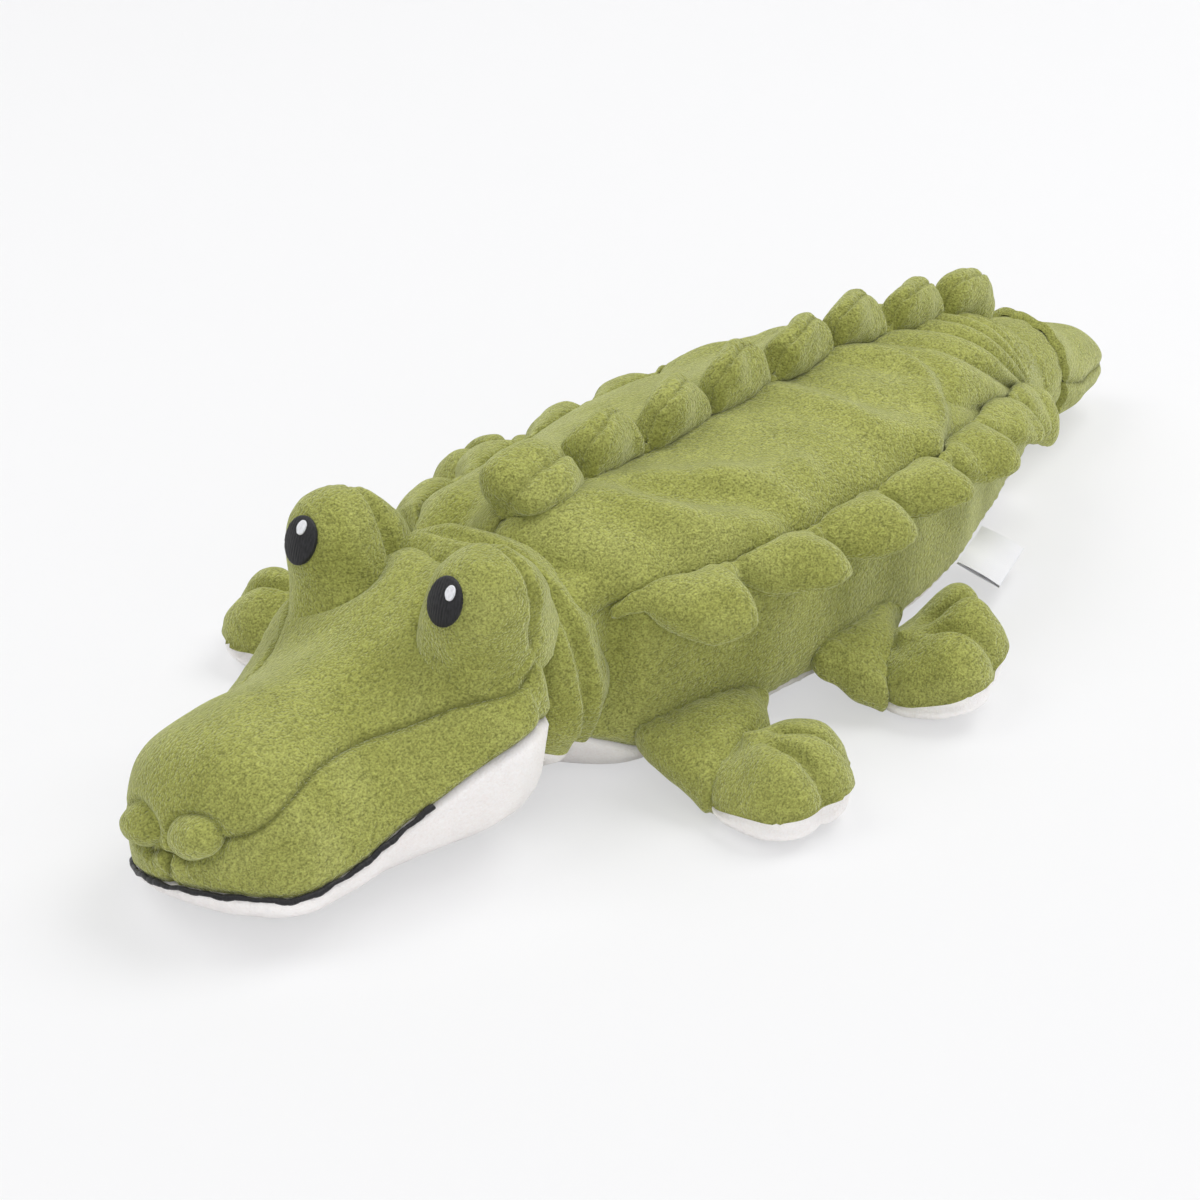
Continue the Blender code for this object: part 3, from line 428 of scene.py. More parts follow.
class Piece:
    """A grid of points that becomes a mesh, with the painted seam shade and rest place of each point."""

    def __init__(self, name, grid, around=False):
        self.name = name
        self.grid = grid
        self.around = around
        # How much painted shade darkens each point, along the hollows of its seams
        self.seam = np.zeros(grid.shape[:-1])
        self.tip_start = None
        self.tip_end = None

    def push(self, amount):
        self.grid = self.grid + outward(self.grid, self.around) * amount[..., None]

    def mark(self, lines, width=SEAM_SHADE_WIDTH):
        """Paints shade along some lines, darkening the piece in the hollows of its seams."""
        for line in lines:
            self.seam = np.maximum(self.seam, hill(line_distance(self.grid, line), width))

    def tuck_edges(self, first_row=True, columns=True, depth=TUCK):
        """Turns the edges inwards, so that the cloth shows its thickness at its seams."""
        normal = outward(self.grid, self.around)
        grid, seam = self.grid, self.seam
        if columns:
            first = grid[:, :1] - normal[:, :1] * depth
            last = grid[:, -1:] - normal[:, -1:] * depth
            grid = np.concatenate((first, grid, last), axis=1)
            seam = np.concatenate((seam[:, :1], seam, seam[:, -1:]), axis=1)
            normal = np.concatenate((normal[:, :1], normal, normal[:, -1:]), axis=1)
        if first_row:
            grid = np.concatenate((grid[:1] - normal[:1] * depth, grid), axis=0)
            seam = np.concatenate((seam[:1], seam), axis=0)
            normal = np.concatenate((normal[:1], normal), axis=0)
        self.grid = np.concatenate((grid, grid[-1:] - normal[-1:] * depth), axis=0)
        self.seam = np.concatenate((seam, seam[-1:]), axis=0)

    def place(self, to_place, start=False, end=False):
        """Carries the piece to its place, and closes its first or last ring with a point in the middle."""
        self.grid = to_place(self.grid)
        if start:
            self.tip_start = self.grid[0].mean(axis=0)
        if end:
            self.tip_end = self.grid[-1].mean(axis=0)

    def build(self, cloth, nodes=(), floor=True):
        """The piece as an object of a cloth, in place of some nodes, and no lower than the floor."""
        grid = self.grid
        if floor:
            grid = grid.copy()
            grid[..., 2] = np.maximum(grid[..., 2], 0.0)
        rows, columns = grid.shape[:2]
        points = [tuple(map(float, p)) for p in grid.reshape(-1, 3)]
        seam = list(self.seam.reshape(-1))
        faces = []
        wide = columns if self.around else columns - 1
        for i in range(rows - 1):
            for j in range(wide):
                a = i * columns + j
                b = i * columns + (j + 1) % columns
                faces.append((a, b, b + columns, a + columns))
        for tip, row in ((self.tip_start, 0), (self.tip_end, rows - 1)):
            if tip is not None:
                points.append(tuple(map(float, tip)))
                seam.append(float(np.mean(self.seam[row])))
                for j in range(wide):
                    a = row * columns + j
                    b = row * columns + (j + 1) % columns
                    faces.append((a, b, len(points) - 1) if row else (b, a, len(points) - 1))
        return add_mesh(self.name, points, faces, seam, cloth, nodes)


def keep_rest(mesh, co):
    """Keeps where each point is at rest, which the materials follow."""
    rest = mesh.attributes.new("rest", "FLOAT_VECTOR", "POINT")
    rest.data.foreach_set("vector", co.astype(np.float32).ravel())


def add_mesh(name, points, faces, seam, cloth, nodes):
    slot, material = cloth
    mesh = bpy.data.meshes.new(name)
    mesh.from_pydata(points, [], faces)
    mesh.update()
    keep_rest(mesh, np.array(points, float))
    # The painted shade of the seams' hollows, kept on each point for the materials
    seam_shade = mesh.attributes.new("seam", "FLOAT", "POINT")
    seam_shade.data.foreach_set("value", np.array(seam, np.float32))
    obj = bpy.data.objects.new(name, mesh)
    bpy.context.scene.collection.objects.link(obj)
    turn_outwards(mesh)
    mesh.shade_smooth()
    mesh.materials.append(material)
    if nodes:
        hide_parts(*nodes)
    return obj


def turn_outwards(mesh):
    """Faces the mesh away from its own middle."""
    co = np.zeros(len(mesh.vertices) * 3)
    mesh.vertices.foreach_get("co", co)
    co = co.reshape(-1, 3)
    normals = np.zeros(len(mesh.polygons) * 3)
    centres = np.zeros(len(mesh.polygons) * 3)
    areas = np.zeros(len(mesh.polygons))
    mesh.polygons.foreach_get("normal", normals)
    mesh.polygons.foreach_get("center", centres)
    mesh.polygons.foreach_get("area", areas)
    away = centres.reshape(-1, 3) - co.mean(axis=0)
    if ((normals.reshape(-1, 3) * away).sum(axis=1) * areas).sum() < 0:
        mesh.flip_normals()


def ride_padded(obj, body):
    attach(obj, body)


def blend_padded(obj):
    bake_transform(obj)


# Materials


def node(tree, kind, **settings):
    made = tree.nodes.new(kind)
    for key, value in settings.items():
        if key.startswith("in_"):
            made.inputs[key[3:].replace("_", " ")].default_value = value
        else:
            setattr(made, key, value)
    return made


def noise_at(tree, vector, scale, detail, roughness=0.5, distortion=0.0):
    made = node(tree, "ShaderNodeTexNoise", in_Scale=scale, in_Detail=detail, in_Roughness=roughness,
                in_Distortion=distortion)
    tree.links.new(vector, made.inputs["Vector"])
    return made.outputs["Fac"]


def ramp(tree, fac, stops):
    made = node(tree, "ShaderNodeValToRGB")
    elements = made.color_ramp.elements
    while len(elements) < len(stops):
        elements.new(0.5)
    for element, (place, colour) in zip(elements, stops):
        element.position = place
        element.color = (*colour, 1.0)
    tree.links.new(fac, made.inputs["Fac"])
    return made.outputs["Color"]


def mix(tree, fac, a, b, kind="MIX"):
    """Mixes two colours; fac is a socket or a number."""
    made = node(tree, "ShaderNodeMix", data_type="RGBA", blend_type=kind)
    sockets = [s for s in made.inputs if s.type == "RGBA"]
    if isinstance(fac, float):
        made.inputs[0].default_value = fac
    else:
        tree.links.new(fac, made.inputs[0])
    for socket, value in zip(sockets, (a, b)):
        if isinstance(value, tuple):
            socket.default_value = (*value, 1.0)
        else:
            tree.links.new(value, socket)
    return [s for s in made.outputs if s.type == "RGBA"][0]


def maths(tree, operation, a, b):
    made = node(tree, "ShaderNodeMath", operation=operation)
    for socket, value in zip(made.inputs, (a, b)):
        if isinstance(value, float):
            socket.default_value = value
        else:
            tree.links.new(value, socket)
    return made.outputs[0]


def stretched(tree, vector, scale):
    made = node(tree, "ShaderNodeMapping", in_Scale=scale)
    tree.links.new(vector, made.inputs["Vector"])
    return made.outputs["Vector"]


def bump(tree, shader, height, strength, distance):
    made = node(tree, "ShaderNodeBump", in_Strength=strength, in_Distance=distance)
    tree.links.new(height, made.inputs["Height"])
    tree.links.new(made.outputs["Normal"], shader.inputs["Normal"])


def start_material(name, roughness, **settings):
    material = bpy.data.materials.new(name)
    material.use_nodes = True
    tree = material.node_tree
    shader = tree.nodes["Principled BSDF"]
    shader.inputs["Roughness"].default_value = roughness
    for key, value in settings.items():
        shader.inputs[key.replace("_", " ")].default_value = value
    rest = node(tree, "ShaderNodeAttribute", attribute_name="rest")
    seam = node(tree, "ShaderNodeAttribute", attribute_name="seam")
    return material, tree, shader, rest.outputs["Vector"], seam.outputs["Fac"]


PLUSH_ROUGHNESS = 0.95
PLUSH_GLOSS = 0.08
SHEEN_ROUGHNESS = 0.38
# scale, detail, roughness and distortion of the broad patches, and where their three colours stand
PATCHES = (34.0, 4.0, 0.55, 0.9)
PATCH_PLACES = (0.30, 0.5, 0.70)
# stretch, scale, detail and distortion of each finer layer, how much of it shows, and its ramp of greys
PLUSH_LAYERS = {
    "brushed": ((1.0, 0.6, 0.8), 170.0, 2.0, 1.2, 0.30, ((0.32, 0.42), (0.5, 0.5), (0.68, 0.57))),
    "strokes": ((1.0, 0.50, 0.8), 1400.0, 1.0, 0.4, 0.28, ((0.30, 0.22), (0.5, 0.5), (0.70, 0.74))),
    # The pile's random tone has dark roots that are painted shade deep in the pile, where its bump is low
    "pile": ((1.0, 0.7, 1.0), 2300.0, 1.0, 0.2, 0.44, ((0.28, 0.10), (0.48, 0.5), (0.72, 0.86))),
}
# Painted shade in the seams' hollows: how much the seam attribute darkens the plush, and the share of the
# deep tone it goes to
SEAM_SHADE_SHARE = 0.70
SEAM_SHADE_TONE = 0.42
PILE_RELIEF = 1.0
STROKE_RELIEF = 1.2
PLUSH_BUMP = 0.7


def plush(name, deep, middle, light, tip, sheen, relief_height):
    """Short-pile plush: brushed patches, strokes along the nap, fine pile whose dark roots are painted shade,
    pale tips, and painted shade in the seams' hollows.
    """
    material, tree, shader, rest, seam = start_material(
        name, PLUSH_ROUGHNESS, Sheen_Weight=sheen, Sheen_Roughness=SHEEN_ROUGHNESS, Sheen_Tint=(*tip, 1.0),
        Specular_IOR_Level=PLUSH_GLOSS)
    patches = noise_at(tree, rest, *PATCHES)
    colour = ramp(tree, patches, list(zip(PATCH_PLACES, (deep, middle, light))))
    layers = {}
    for layer, (stretch, scale, detail, distortion, share, greys) in PLUSH_LAYERS.items():
        layers[layer] = noise_at(tree, stretched(tree, rest, stretch), scale, detail, distortion=distortion)
        tones = ramp(tree, layers[layer], [(place, (value,) * 3) for place, value in greys])
        colour = mix(tree, share, colour, tones, "OVERLAY")
    # Painted shade: the plush goes darker along the hollows of its seams
    dark = maths(tree, "MULTIPLY", seam, SEAM_SHADE_SHARE)
    colour = mix(tree, dark, colour, tuple(SEAM_SHADE_TONE * c for c in deep))
    tree.links.new(colour, shader.inputs["Base Color"])
    relief = maths(tree, "ADD", maths(tree, "MULTIPLY", layers["pile"], PILE_RELIEF),
                   maths(tree, "MULTIPLY", layers["strokes"], STROKE_RELIEF))
    bump(tree, shader, relief, PLUSH_BUMP, relief_height)
    return material


THREAD_ROUGHNESS = 0.5
THREAD_GLOSS = 0.3
STRAND_STRETCH = (1.0, 1.0, 0.15)
# scale and detail
STRANDS = (2600.0, 2.0)
STRAND_PLACES = (0.35, 0.68)
STRAND_BUMP = (0.7, 0.0001)


def thread(name, dark, light, sheen):
    """Satin-stitched thread: fine parallel strands with a soft gloss."""
    material, tree, shader, rest, _ = start_material(
        name, THREAD_ROUGHNESS, Sheen_Weight=sheen, Specular_IOR_Level=THREAD_GLOSS)
    strands = noise_at(tree, stretched(tree, rest, STRAND_STRETCH), *STRANDS)
    tree.links.new(ramp(tree, strands, list(zip(STRAND_PLACES, (dark, light)))), shader.inputs["Base Color"])
    bump(tree, shader, strands, *STRAND_BUMP)
    return material


WOVEN_GLOSS = 0.25
WEAVE_DISTORTION = 0.8
WEAVE_SHARE = 0.4
# scale and detail
CLOUDS = (120.0, 3.0)
WEAVE_PLACES = (0.2, 0.7)
WEAVE_BUMP = (0.4, 0.0001)


def woven(name, dark, light, scale, roughness):
    """Plain woven tape or cotton: crossing threads with slight unevenness."""
    material, tree, shader, rest, _ = start_material(name, roughness, Specular_IOR_Level=WOVEN_GLOSS)
    waves = []
    for direction in ("X", "Y"):
        wave = node(tree, "ShaderNodeTexWave", wave_type="BANDS", bands_direction=direction, in_Scale=scale,
                    in_Distortion=WEAVE_DISTORTION, in_Detail=1.0)
        tree.links.new(rest, wave.inputs["Vector"])
        waves.append(wave.outputs["Fac"])
    weave = maths(tree, "MULTIPLY", *waves)
    cloud = noise_at(tree, rest, *CLOUDS)
    shade = maths(tree, "ADD", maths(tree, "MULTIPLY", weave, WEAVE_SHARE),
                  maths(tree, "MULTIPLY", cloud, 1 - WEAVE_SHARE))
    tree.links.new(ramp(tree, shade, list(zip(WEAVE_PLACES, (dark, light)))), shader.inputs["Base Color"])
    bump(tree, shader, weave, *WEAVE_BUMP)
    return material


# Each cloth is a slot with its material
GREEN = ("green_plush", plush(
    "green_plush_pile", (0.300, 0.314, 0.078), (0.336, 0.351, 0.095), (0.374, 0.389, 0.116),
    (0.86, 0.90, 0.58), 0.75, 0.0007))
CREAM = ("cream_plush", plush(
    "cream_plush_pile", (0.93, 0.89, 0.87), (0.955, 0.925, 0.905), (0.98, 0.955, 0.94),
    (1.0, 0.97, 0.95), 0.25, 0.0003))
BLACK = ("black_thread", thread("black_thread_satin", (0.004, 0.004, 0.005), (0.018, 0.018, 0.020), 0.1))
WHITE = ("white_thread", thread("white_thread_satin", (0.74, 0.75, 0.78), (0.88, 0.89, 0.92), 0.2))
TAPE = ("white_tape", woven("white_tape_weave", (0.86, 0.86, 0.90), (0.93, 0.93, 0.96), 700.0, 0.6))
WADDING = ("filling", woven("filling_fibre", (0.74, 0.73, 0.70), (0.86, 0.85, 0.82), 260.0, 0.95))
COTTON = ("grain_cotton", woven("grain_cotton_weave", (0.62, 0.58, 0.48), (0.76, 0.72, 0.62), 520.0, 0.9))


# Body skins

# crest height, half width and the places along and round the body that each soft fold follows
LEFT_FOLDS = (
    (0.0024, 0.0075, (
        (0.023, 3.5), (0.054, 3.5), (0.102, 6.0), (0.126, 13.5), (0.143, 26.0), (0.18, 38.0), (0.239, 51.0))),
    (0.0010, 0.0050, ((0.162, 3.0), (0.20, 7.0), (0.239, 17.0), (0.302, 27.5), (0.356, 33.0))),
    (-0.0012, 0.0060, ((0.163, 12.0), (0.203, 26.5), (0.253, 37.5))),
    (0.0010, 0.0050, ((0.263, 19.5), (0.289, 37.5), (0.306, 46.5))),
    (0.0019, 0.0050, ((0.624, 1.5), (0.647, 5.5), (0.66, 14.0), (0.652, 31.5), (0.621, 47.0), (0.568, 60.0))),
    (-0.0012, 0.0042, ((0.691, 11.5), (0.687, 29.5), (0.652, 47.5), (0.604, 60.0))),
    (0.0013, 0.0060, ((0.484, 1.0), (0.494, 14.5), (0.515, 36.5), (0.555, 47.5))),
    (-0.0009, 0.0060, ((0.536, 1.5), (0.539, 15.0), (0.571, 32.5))),
    (-0.0030, 0.0045, ((0.030, 66.0), (0.024, 80.5), (0.024, 96.0))),
    (0.0018, 0.0050, ((0.007, 49.5), (0.010, 74.5), (0.012, 96.5), (0.014, 110.5))),
    (-0.0007, 0.0025, ((0.002, 19.0), (0.010, 32.0), (0.022, 39.0))),
)
RIGHT_FOLDS = (
    (-0.0019, 0.0120, ((0.05, -24.0), (0.20, -28.0), (0.40, -30.0), (0.62, -28.0))),
    (0.0012, 0.0065, ((0.031, -47.0), (0.046, -29.5), (0.109, -27.0), (0.187, -27.0))),
    (-0.0014, 0.0070, ((0.004, -33.0), (0.026, -22.0), (0.066, -16.0), (0.124, -16.5))),
    (0.0006, 0.0080, ((0.123, -12.0), (0.215, -24.0), (0.31, -35.5), (0.389, -28.5))),
    (0.0019, 0.0050, ((0.600, -3.5), (0.640, -14.0), (0.642, -31.5), (0.621, -47.0), (0.568, -60.0))),
    (-0.0012, 0.0042, ((0.680, -11.5), (0.680, -29.5), (0.652, -47.5))),
    (-0.0030, 0.0045, ((0.040, -66.0), (0.034, -80.5), (0.030, -96.0))),
    (0.0006, 0.0070, ((0.300, -24.0), (0.42, -36.0), (0.50, -52.0))),
    (0.0018, 0.0050, ((0.012, -49.5), (0.014, -74.5), (0.014, -96.5), (0.016, -110.5))),
)
FOLD_STRENGTH = 1.6
BODY_LUMPS = ((0.026, 0.0014, 1), (0.010, 0.00025, 2))
SPINE_CALM = 0.35
SPINE_CALM_WIDTH = 0.010

# The fan's centre, its pleats, and the spans over which it comes and goes
FAN_SHARE = 0.955
FAN_TURN = 86.0
FAN_PLEATS = 21.0
FAN_SHIFT = 0.35
FAN_HEIGHT = 0.0028
FAN_REACH = 0.076
FAN_FULL = 0.036
FAN_START = (0.003, 0.010)
FAN_END = (0.55 * FAN_REACH, 1.35 * FAN_REACH)
FAN_ANGLES = (0.10, 0.40)
FAN_INSIDE = (-0.001, 0.003)
FAN_ABOVE = (-0.002, 0.008)


def body_point(share, degrees):
    return BODY.points(np.array([share]), np.array([math.radians(degrees)]))[0]


def scute_seam(side):
    """The turn of a side's scute seam at each share along the body."""
    return lambda share: side * math.radians(float(smooth_rows(SCUTE_SEAM_DEGS, share)[0]))


def level(degrees):
    return lambda share: math.radians(degrees)


def body_line(turn_at, steps=60):
    shares = np.linspace(0.0, 1.0, steps)
    return BODY.points(shares, np.array([turn_at(s) for s in shares]))


BODY_SEAMS = (
    body_line(level(0.0)),
    body_line(scute_seam(1)),
    body_line(scute_seam(-1)),
    body_line(level(BELLY_SEAM_DEG)),
    body_line(level(-BELLY_SEAM_DEG)),
)
# how strongly each of the body's seams shows
SEAM_SHARES = (0.9, 0.3, 0.3, 1.0, 1.0)


def fan(grid, side):
    """Pleats that spread from the side of the tail's root over the rear of the back."""
    centre = body_point(FAN_SHARE, side * FAN_TURN)
    ahead = centre[1] - grid[..., 1]
    above = np.hypot(grid[..., 2] - centre[2], grid[..., 0] - centre[0])
    angle = np.arctan2(above, ahead)
    reach = np.hypot(above, ahead)
    strong = ease(reach, *FAN_START) * (1 - ease(reach, *FAN_END))
    strong = strong * ease(angle, *FAN_ANGLES) * ease(side * grid[..., 0], *FAN_INSIDE)
    strong = strong * np.clip(reach / FAN_FULL, 0.0, 1.0) * ease(grid[..., 2] - centre[2], *FAN_ABOVE)
    return FAN_HEIGHT * pleats(angle * FAN_PLEATS + FAN_SHIFT) * strong


def body_relief(grid):
    """Soft folds, the fan at the tail, unevenness and seams, as one outward push for all body panels."""
    push = np.zeros(grid.shape[:-1])
    for height, width, places in LEFT_FOLDS + RIGHT_FOLDS:
        line = fine_line([body_point(s, d) for s, d in places])
        push += FOLD_STRENGTH * height * hill(line_distance(grid, line), width)
    for _, side in SIDES:
        push += fan(grid, side)
    push += lumpy(grid, BODY_LUMPS)
    push = push * (1 - SPINE_CALM * hill(grid[..., 0], SPINE_CALM_WIDTH))
    for line, share in zip(BODY_SEAMS, SEAM_SHARES):
        push -= groove(grid, line, SEAM_DEPTH * share, SEAM_WIDTH)
    return push


BODY_LAST = 0.93
BODY_ROWS = 230
BACK_COLUMNS = 62
FLANK_COLUMNS = 48
BELLY_ROWS = 140
BELLY_COLUMNS = 64


def body_panel(name, node_name, turns, columns, cloth, rows=BODY_ROWS):
    """A panel between two turns, each a function of the share along the body."""
    first, last = turns
    grid = BODY.grid(spread(0.0, BODY_LAST, rows), lambda s: spread(first(s), last(s), columns))
    piece = Piece(name, grid)
    # Painted shade along the hollows of the spine and belly seams
    piece.mark(BODY_SEAMS[:1] + BODY_SEAMS[3:], BODY_SHADE_WIDTH)
    piece.push(body_relief(grid))
    piece.tuck_edges()
    piece.place(to_frame)
    ride_padded(piece.build(cloth, [node_name]), "torso")


def make_body():
    for word, side in SIDES:
        seam = scute_seam(side)
        body_panel("back_skin_" + word, "back_panel_" + word, (level(0.0), seam), BACK_COLUMNS, GREEN)
        body_panel("flank_skin_" + word, "flank_panel_" + word, (seam, level(side * BELLY_SEAM_DEG)),
                   FLANK_COLUMNS, GREEN)
    body_panel("belly_skin", "belly_panel", (level(BELLY_SEAM_DEG), level(360 - BELLY_SEAM_DEG)),
               BELLY_COLUMNS, CREAM, BELLY_ROWS)


def around_body(upper, under):
    """Even turns for an upper and an under cloth that meet at the belly's seams, by their columns."""
    seam = math.radians(BELLY_SEAM_DEG)
    return np.linspace(-seam, seam, upper), np.linspace(seam, TURN - seam, under)


# The gathered root of the tail, from the body's rear to the tail's own seam

# place along the toy and radius of each ring
ROOT_ROWS = (
    (0.1739, 0.0167), (0.1768, 0.0164), (0.1800, 0.0160),
    (0.1835, 0.0152), (0.1866, 0.0140), (0.1890, 0.0120),
)
ROOT_STEP = 0.0006
ROOT_BODY_COUNT = 26
ROOT_RING_COUNT = 34
ROOT_COLUMNS = (150, 50)
ROOT_FADE = (0.1715, 0.1760)
ROOT_PLEAT = 0.0004
ROOT_LUMPS = (0.008, 0.0003, 4)
TAIL_PLEATS = 15
TAIL_PLEAT_SHIFT = 0.4


def tail_pleats(turns):
    return pleats(TAIL_PLEATS * turns / 2 + TAIL_PLEAT_SHIFT)


def root_grid(turns):
    """The body form's last part carried on by rings about the tail's root."""
    body = BODY.grid(spread(BODY_LAST, 1.0, ROOT_BODY_COUNT), lambda s: list(turns))
    body = body + outward(body) * body_relief(body)[..., None]
    ys = np.linspace(ROOT_ROWS[0][0] + ROOT_STEP, ROOT_ROWS[-1][0], ROOT_RING_COUNT)
    radii = smooth_rows(ROOT_ROWS, ys)
    rings = np.stack((radii * np.sin(turns), np.tile(ys[:, None], len(turns)),
                      TAIL_HEIGHT + radii * np.cos(turns)), -1)
    grid = np.concatenate((body, rings), axis=0)
    strong = ease(grid[..., 1], *ROOT_FADE)
    push = ROOT_PLEAT * tail_pleats(turns)[None, :] * strong + lumps(grid, *ROOT_LUMPS) * strong
    return grid + outward(grid) * push[..., None]


def make_tail_root():
    upper, under = around_body(*ROOT_COLUMNS)
    for name, turns, nodes in (
        ("tail_gather_skin", upper, ["tail_gather"]),
        ("tail_gather_under", under, []),
    ):
        piece = Piece(name, root_grid(turns))
        # Painted shade along the hollows of the belly seams
        piece.mark(BODY_SEAMS[3:])
        piece.place(to_frame)
        obj = piece.build(GREEN, nodes)
        blend_padded(obj)


# Tail tip

TAIL_FADE = (TAIL_START + 0.001, TAIL_START + 0.011)
TAIL_PLEAT = 0.0006
TAIL_LUMPS = (0.011, 0.0007, 5)
TAIL_CREASE = (
    (0.004, TAIL_START, 0.040), (0.007, TAIL_START + 0.012, 0.036), (0.008, TAIL_START + 0.022, 0.031),
)
TAIL_CREASE_DEPTH = 0.0011
TAIL_CREASE_WIDTH = 0.0022
TAIL_ROWS = 60
TAIL_COLUMNS = 70
TAIL_CROWD = 1.7
TAIL_LAST = 0.02
TAIL_SEAM_LAST = 0.97
TAIL_SEAM_COUNT = 40

TAIL_SEAMS = [
    TAIL.points(np.linspace(0, TAIL_SEAM_LAST, TAIL_SEAM_COUNT), np.full(TAIL_SEAM_COUNT, side * math.pi / 2))
    for _, side in SIDES
]


def tail_relief(grid):
    turn = np.arctan2(grid[..., 0], grid[..., 2] - TAIL_HEIGHT)
    fade = 1 - ease(grid[..., 1], *TAIL_FADE)
    push = TAIL_PLEAT * tail_pleats(turn) * fade + lumps(grid, *TAIL_LUMPS)
    push -= TAIL_CREASE_DEPTH * hill(line_distance(grid, fine_line(TAIL_CREASE)), TAIL_CREASE_WIDTH)
    for line in TAIL_SEAMS:
        push -= groove(grid, line, TAIL_SEAM_DEPTH, TAIL_SEAM_WIDTH)
    return push


def make_tail():
    shares = 1 - np.linspace(1, TAIL_LAST, TAIL_ROWS) ** TAIL_CROWD
    for word, first in (("upper", -math.pi / 2), ("under", math.pi / 2)):
        grid = TAIL.grid(shares, lambda s: spread(first, first + math.pi, TAIL_COLUMNS))
        piece = Piece("tail_" + word + "_skin", grid)
        piece.push(tail_relief(grid))
        # Painted shade along the hollows of the tail's seams
        piece.mark(TAIL_SEAMS)
        piece.tuck_edges()
        piece.place(to_frame)
        obj = piece.build(GREEN, ["tail_" + word + "_panel"])
        blend_padded(obj)


# Scutes

SPINE_BUMPS = 8
SPINE_SPAN = (0.02, 0.985)
SPINE_SIZES = (0.0152, 0.0026, 0.0106)
SPINE_BEND = (math.radians(-4.0), math.radians(6.0))
SIDE_BUMPS = 7
SIDE_SPAN = (0.03, 0.93)
SIDE_SIZES = (0.0160, 0.0052, 0.0086)
SIDE_BENDS = {
    "left": (math.radians(30.0), math.radians(86.0)),
    "right": (math.radians(52.0), math.radians(112.0)),
}
SCUTE_SINK = 0.0012
# how far each pad's peak lies to the rear, how far its outer edge is drawn along, and how far it spreads
SPINE_FORM = (0.85, -0.0012, 0.0016)
SIDE_FORM = (1.75, 0.0034, 0.0010)
# height, thickness, lean in degrees and twist in metres of each pad, from the neck to the tail
SPINE_PADS = (
    (0.80, 1.80, 16.0, 0.0002), (0.96, 1.00, -4.0, 0.0020), (1.00, 1.00, 7.0, 0.0018),
    (1.04, 1.02, -3.0, 0.0020), (1.02, 1.00, 8.0, 0.0016), (1.02, 1.04, -6.0, 0.0020),
    (0.92, 1.04, 5.0, 0.0018), (1.04, 1.08, 2.0, 0.0010),
)
SIDE_PADS = (
    (1.14, 1.05, 6.0, 0.0026), (1.02, 1.06, -8.0, 0.0030), (1.06, 1.02, 5.0, 0.0034),
    (1.02, 1.02, -8.0, 0.0030), (1.06, 1.08, 4.0, 0.0034), (1.00, 1.06, -8.0, 0.0026),
    (1.24, 1.20, 12.0, 0.0006),
)
SCUTE_TAIL_SHARE = 0.80
SCUTE_STEPS = 40
SCUTE_COLUMNS = 48
SCUTE_OPEN = 0.985
TURN_STEP = 0.002
LEAST_BEND = 0.01

# The outline of a pad, its section above and below its middle, and its rounded ends
PAD_WIDTH = 0.86
PAD_POWERS = (2.6, 0.46)
PAD_THIN = 0.50
SECTION_POWERS = (0.78, 0.50)
PAD_END = 0.55
PAD_LEAST = 0.08

# The seam along the pads: where it lies, and the half widths of its dent, its puckers and the painted shade
# along it
CREST_TURN = 0.20
DENT_DEPTH = 0.0012
DENT_WIDTH = 0.13
STITCH_WIDTH = 0.24
CREST_WIDTH = 0.08
# Painted shade: how dark the seam's dent gets, and how dark and how far up the strip's base gets where it
# sits on the body
CREST_SHADE = 0.6
STRIP_BASE_SHADE = 0.5
STRIP_BASE_SHADE_SHARE = 0.13
# height, and half waves for each pad, of the wrinkles in the necks and of the puckers along the seam
PAD_WRINKLE = (0.0003, 11)
PAD_WRINKLE_SHIFT = 2
PAD_PUCKER = (0.00022, 17)
PAD_LUMPS = ((0.008, 0.0009, 6), (0.0032, 0.00016, 7))


def arc_place(start, end, reach):
    """How far out and aside an evenly bending strip gets at a share of its length."""
    bend = end - start
    bend = np.where(np.abs(bend) < LEAST_BEND, LEAST_BEND, bend)
    turn = start + bend * reach
    return (np.sin(turn) - np.sin(start)) / bend, (np.cos(start) - np.cos(turn)) / bend, turn


def strip_foot(parts, turn_at, span):
    """The line that a strip stands on, with its directions along, out of and across the body."""
    shares = span[0] + (span[1] - span[0]) * parts
    turns = np.array([turn_at(s) for s in shares])
    foot = BODY.points(shares, turns)
    along = unit(np.gradient(foot, axis=0))
    step = BODY.points(shares, turns + TURN_STEP) - BODY.points(shares, turns - TURN_STEP)
    normal = unit(np.cross(along, step))
    middle = smooth_rows(BODY.rows, shares)[:, 3]
    core = np.stack((np.zeros(len(parts)), foot[:, 1], middle), -1)
    normal *= np.sign(((foot - core) * normal).sum(axis=1))[:, None]
    foot = foot + normal * (body_relief(foot[:, None])[:, 0] + SEAM_DEPTH - SCUTE_SINK)[:, None]
    return foot, along, normal, np.cross(along, normal)


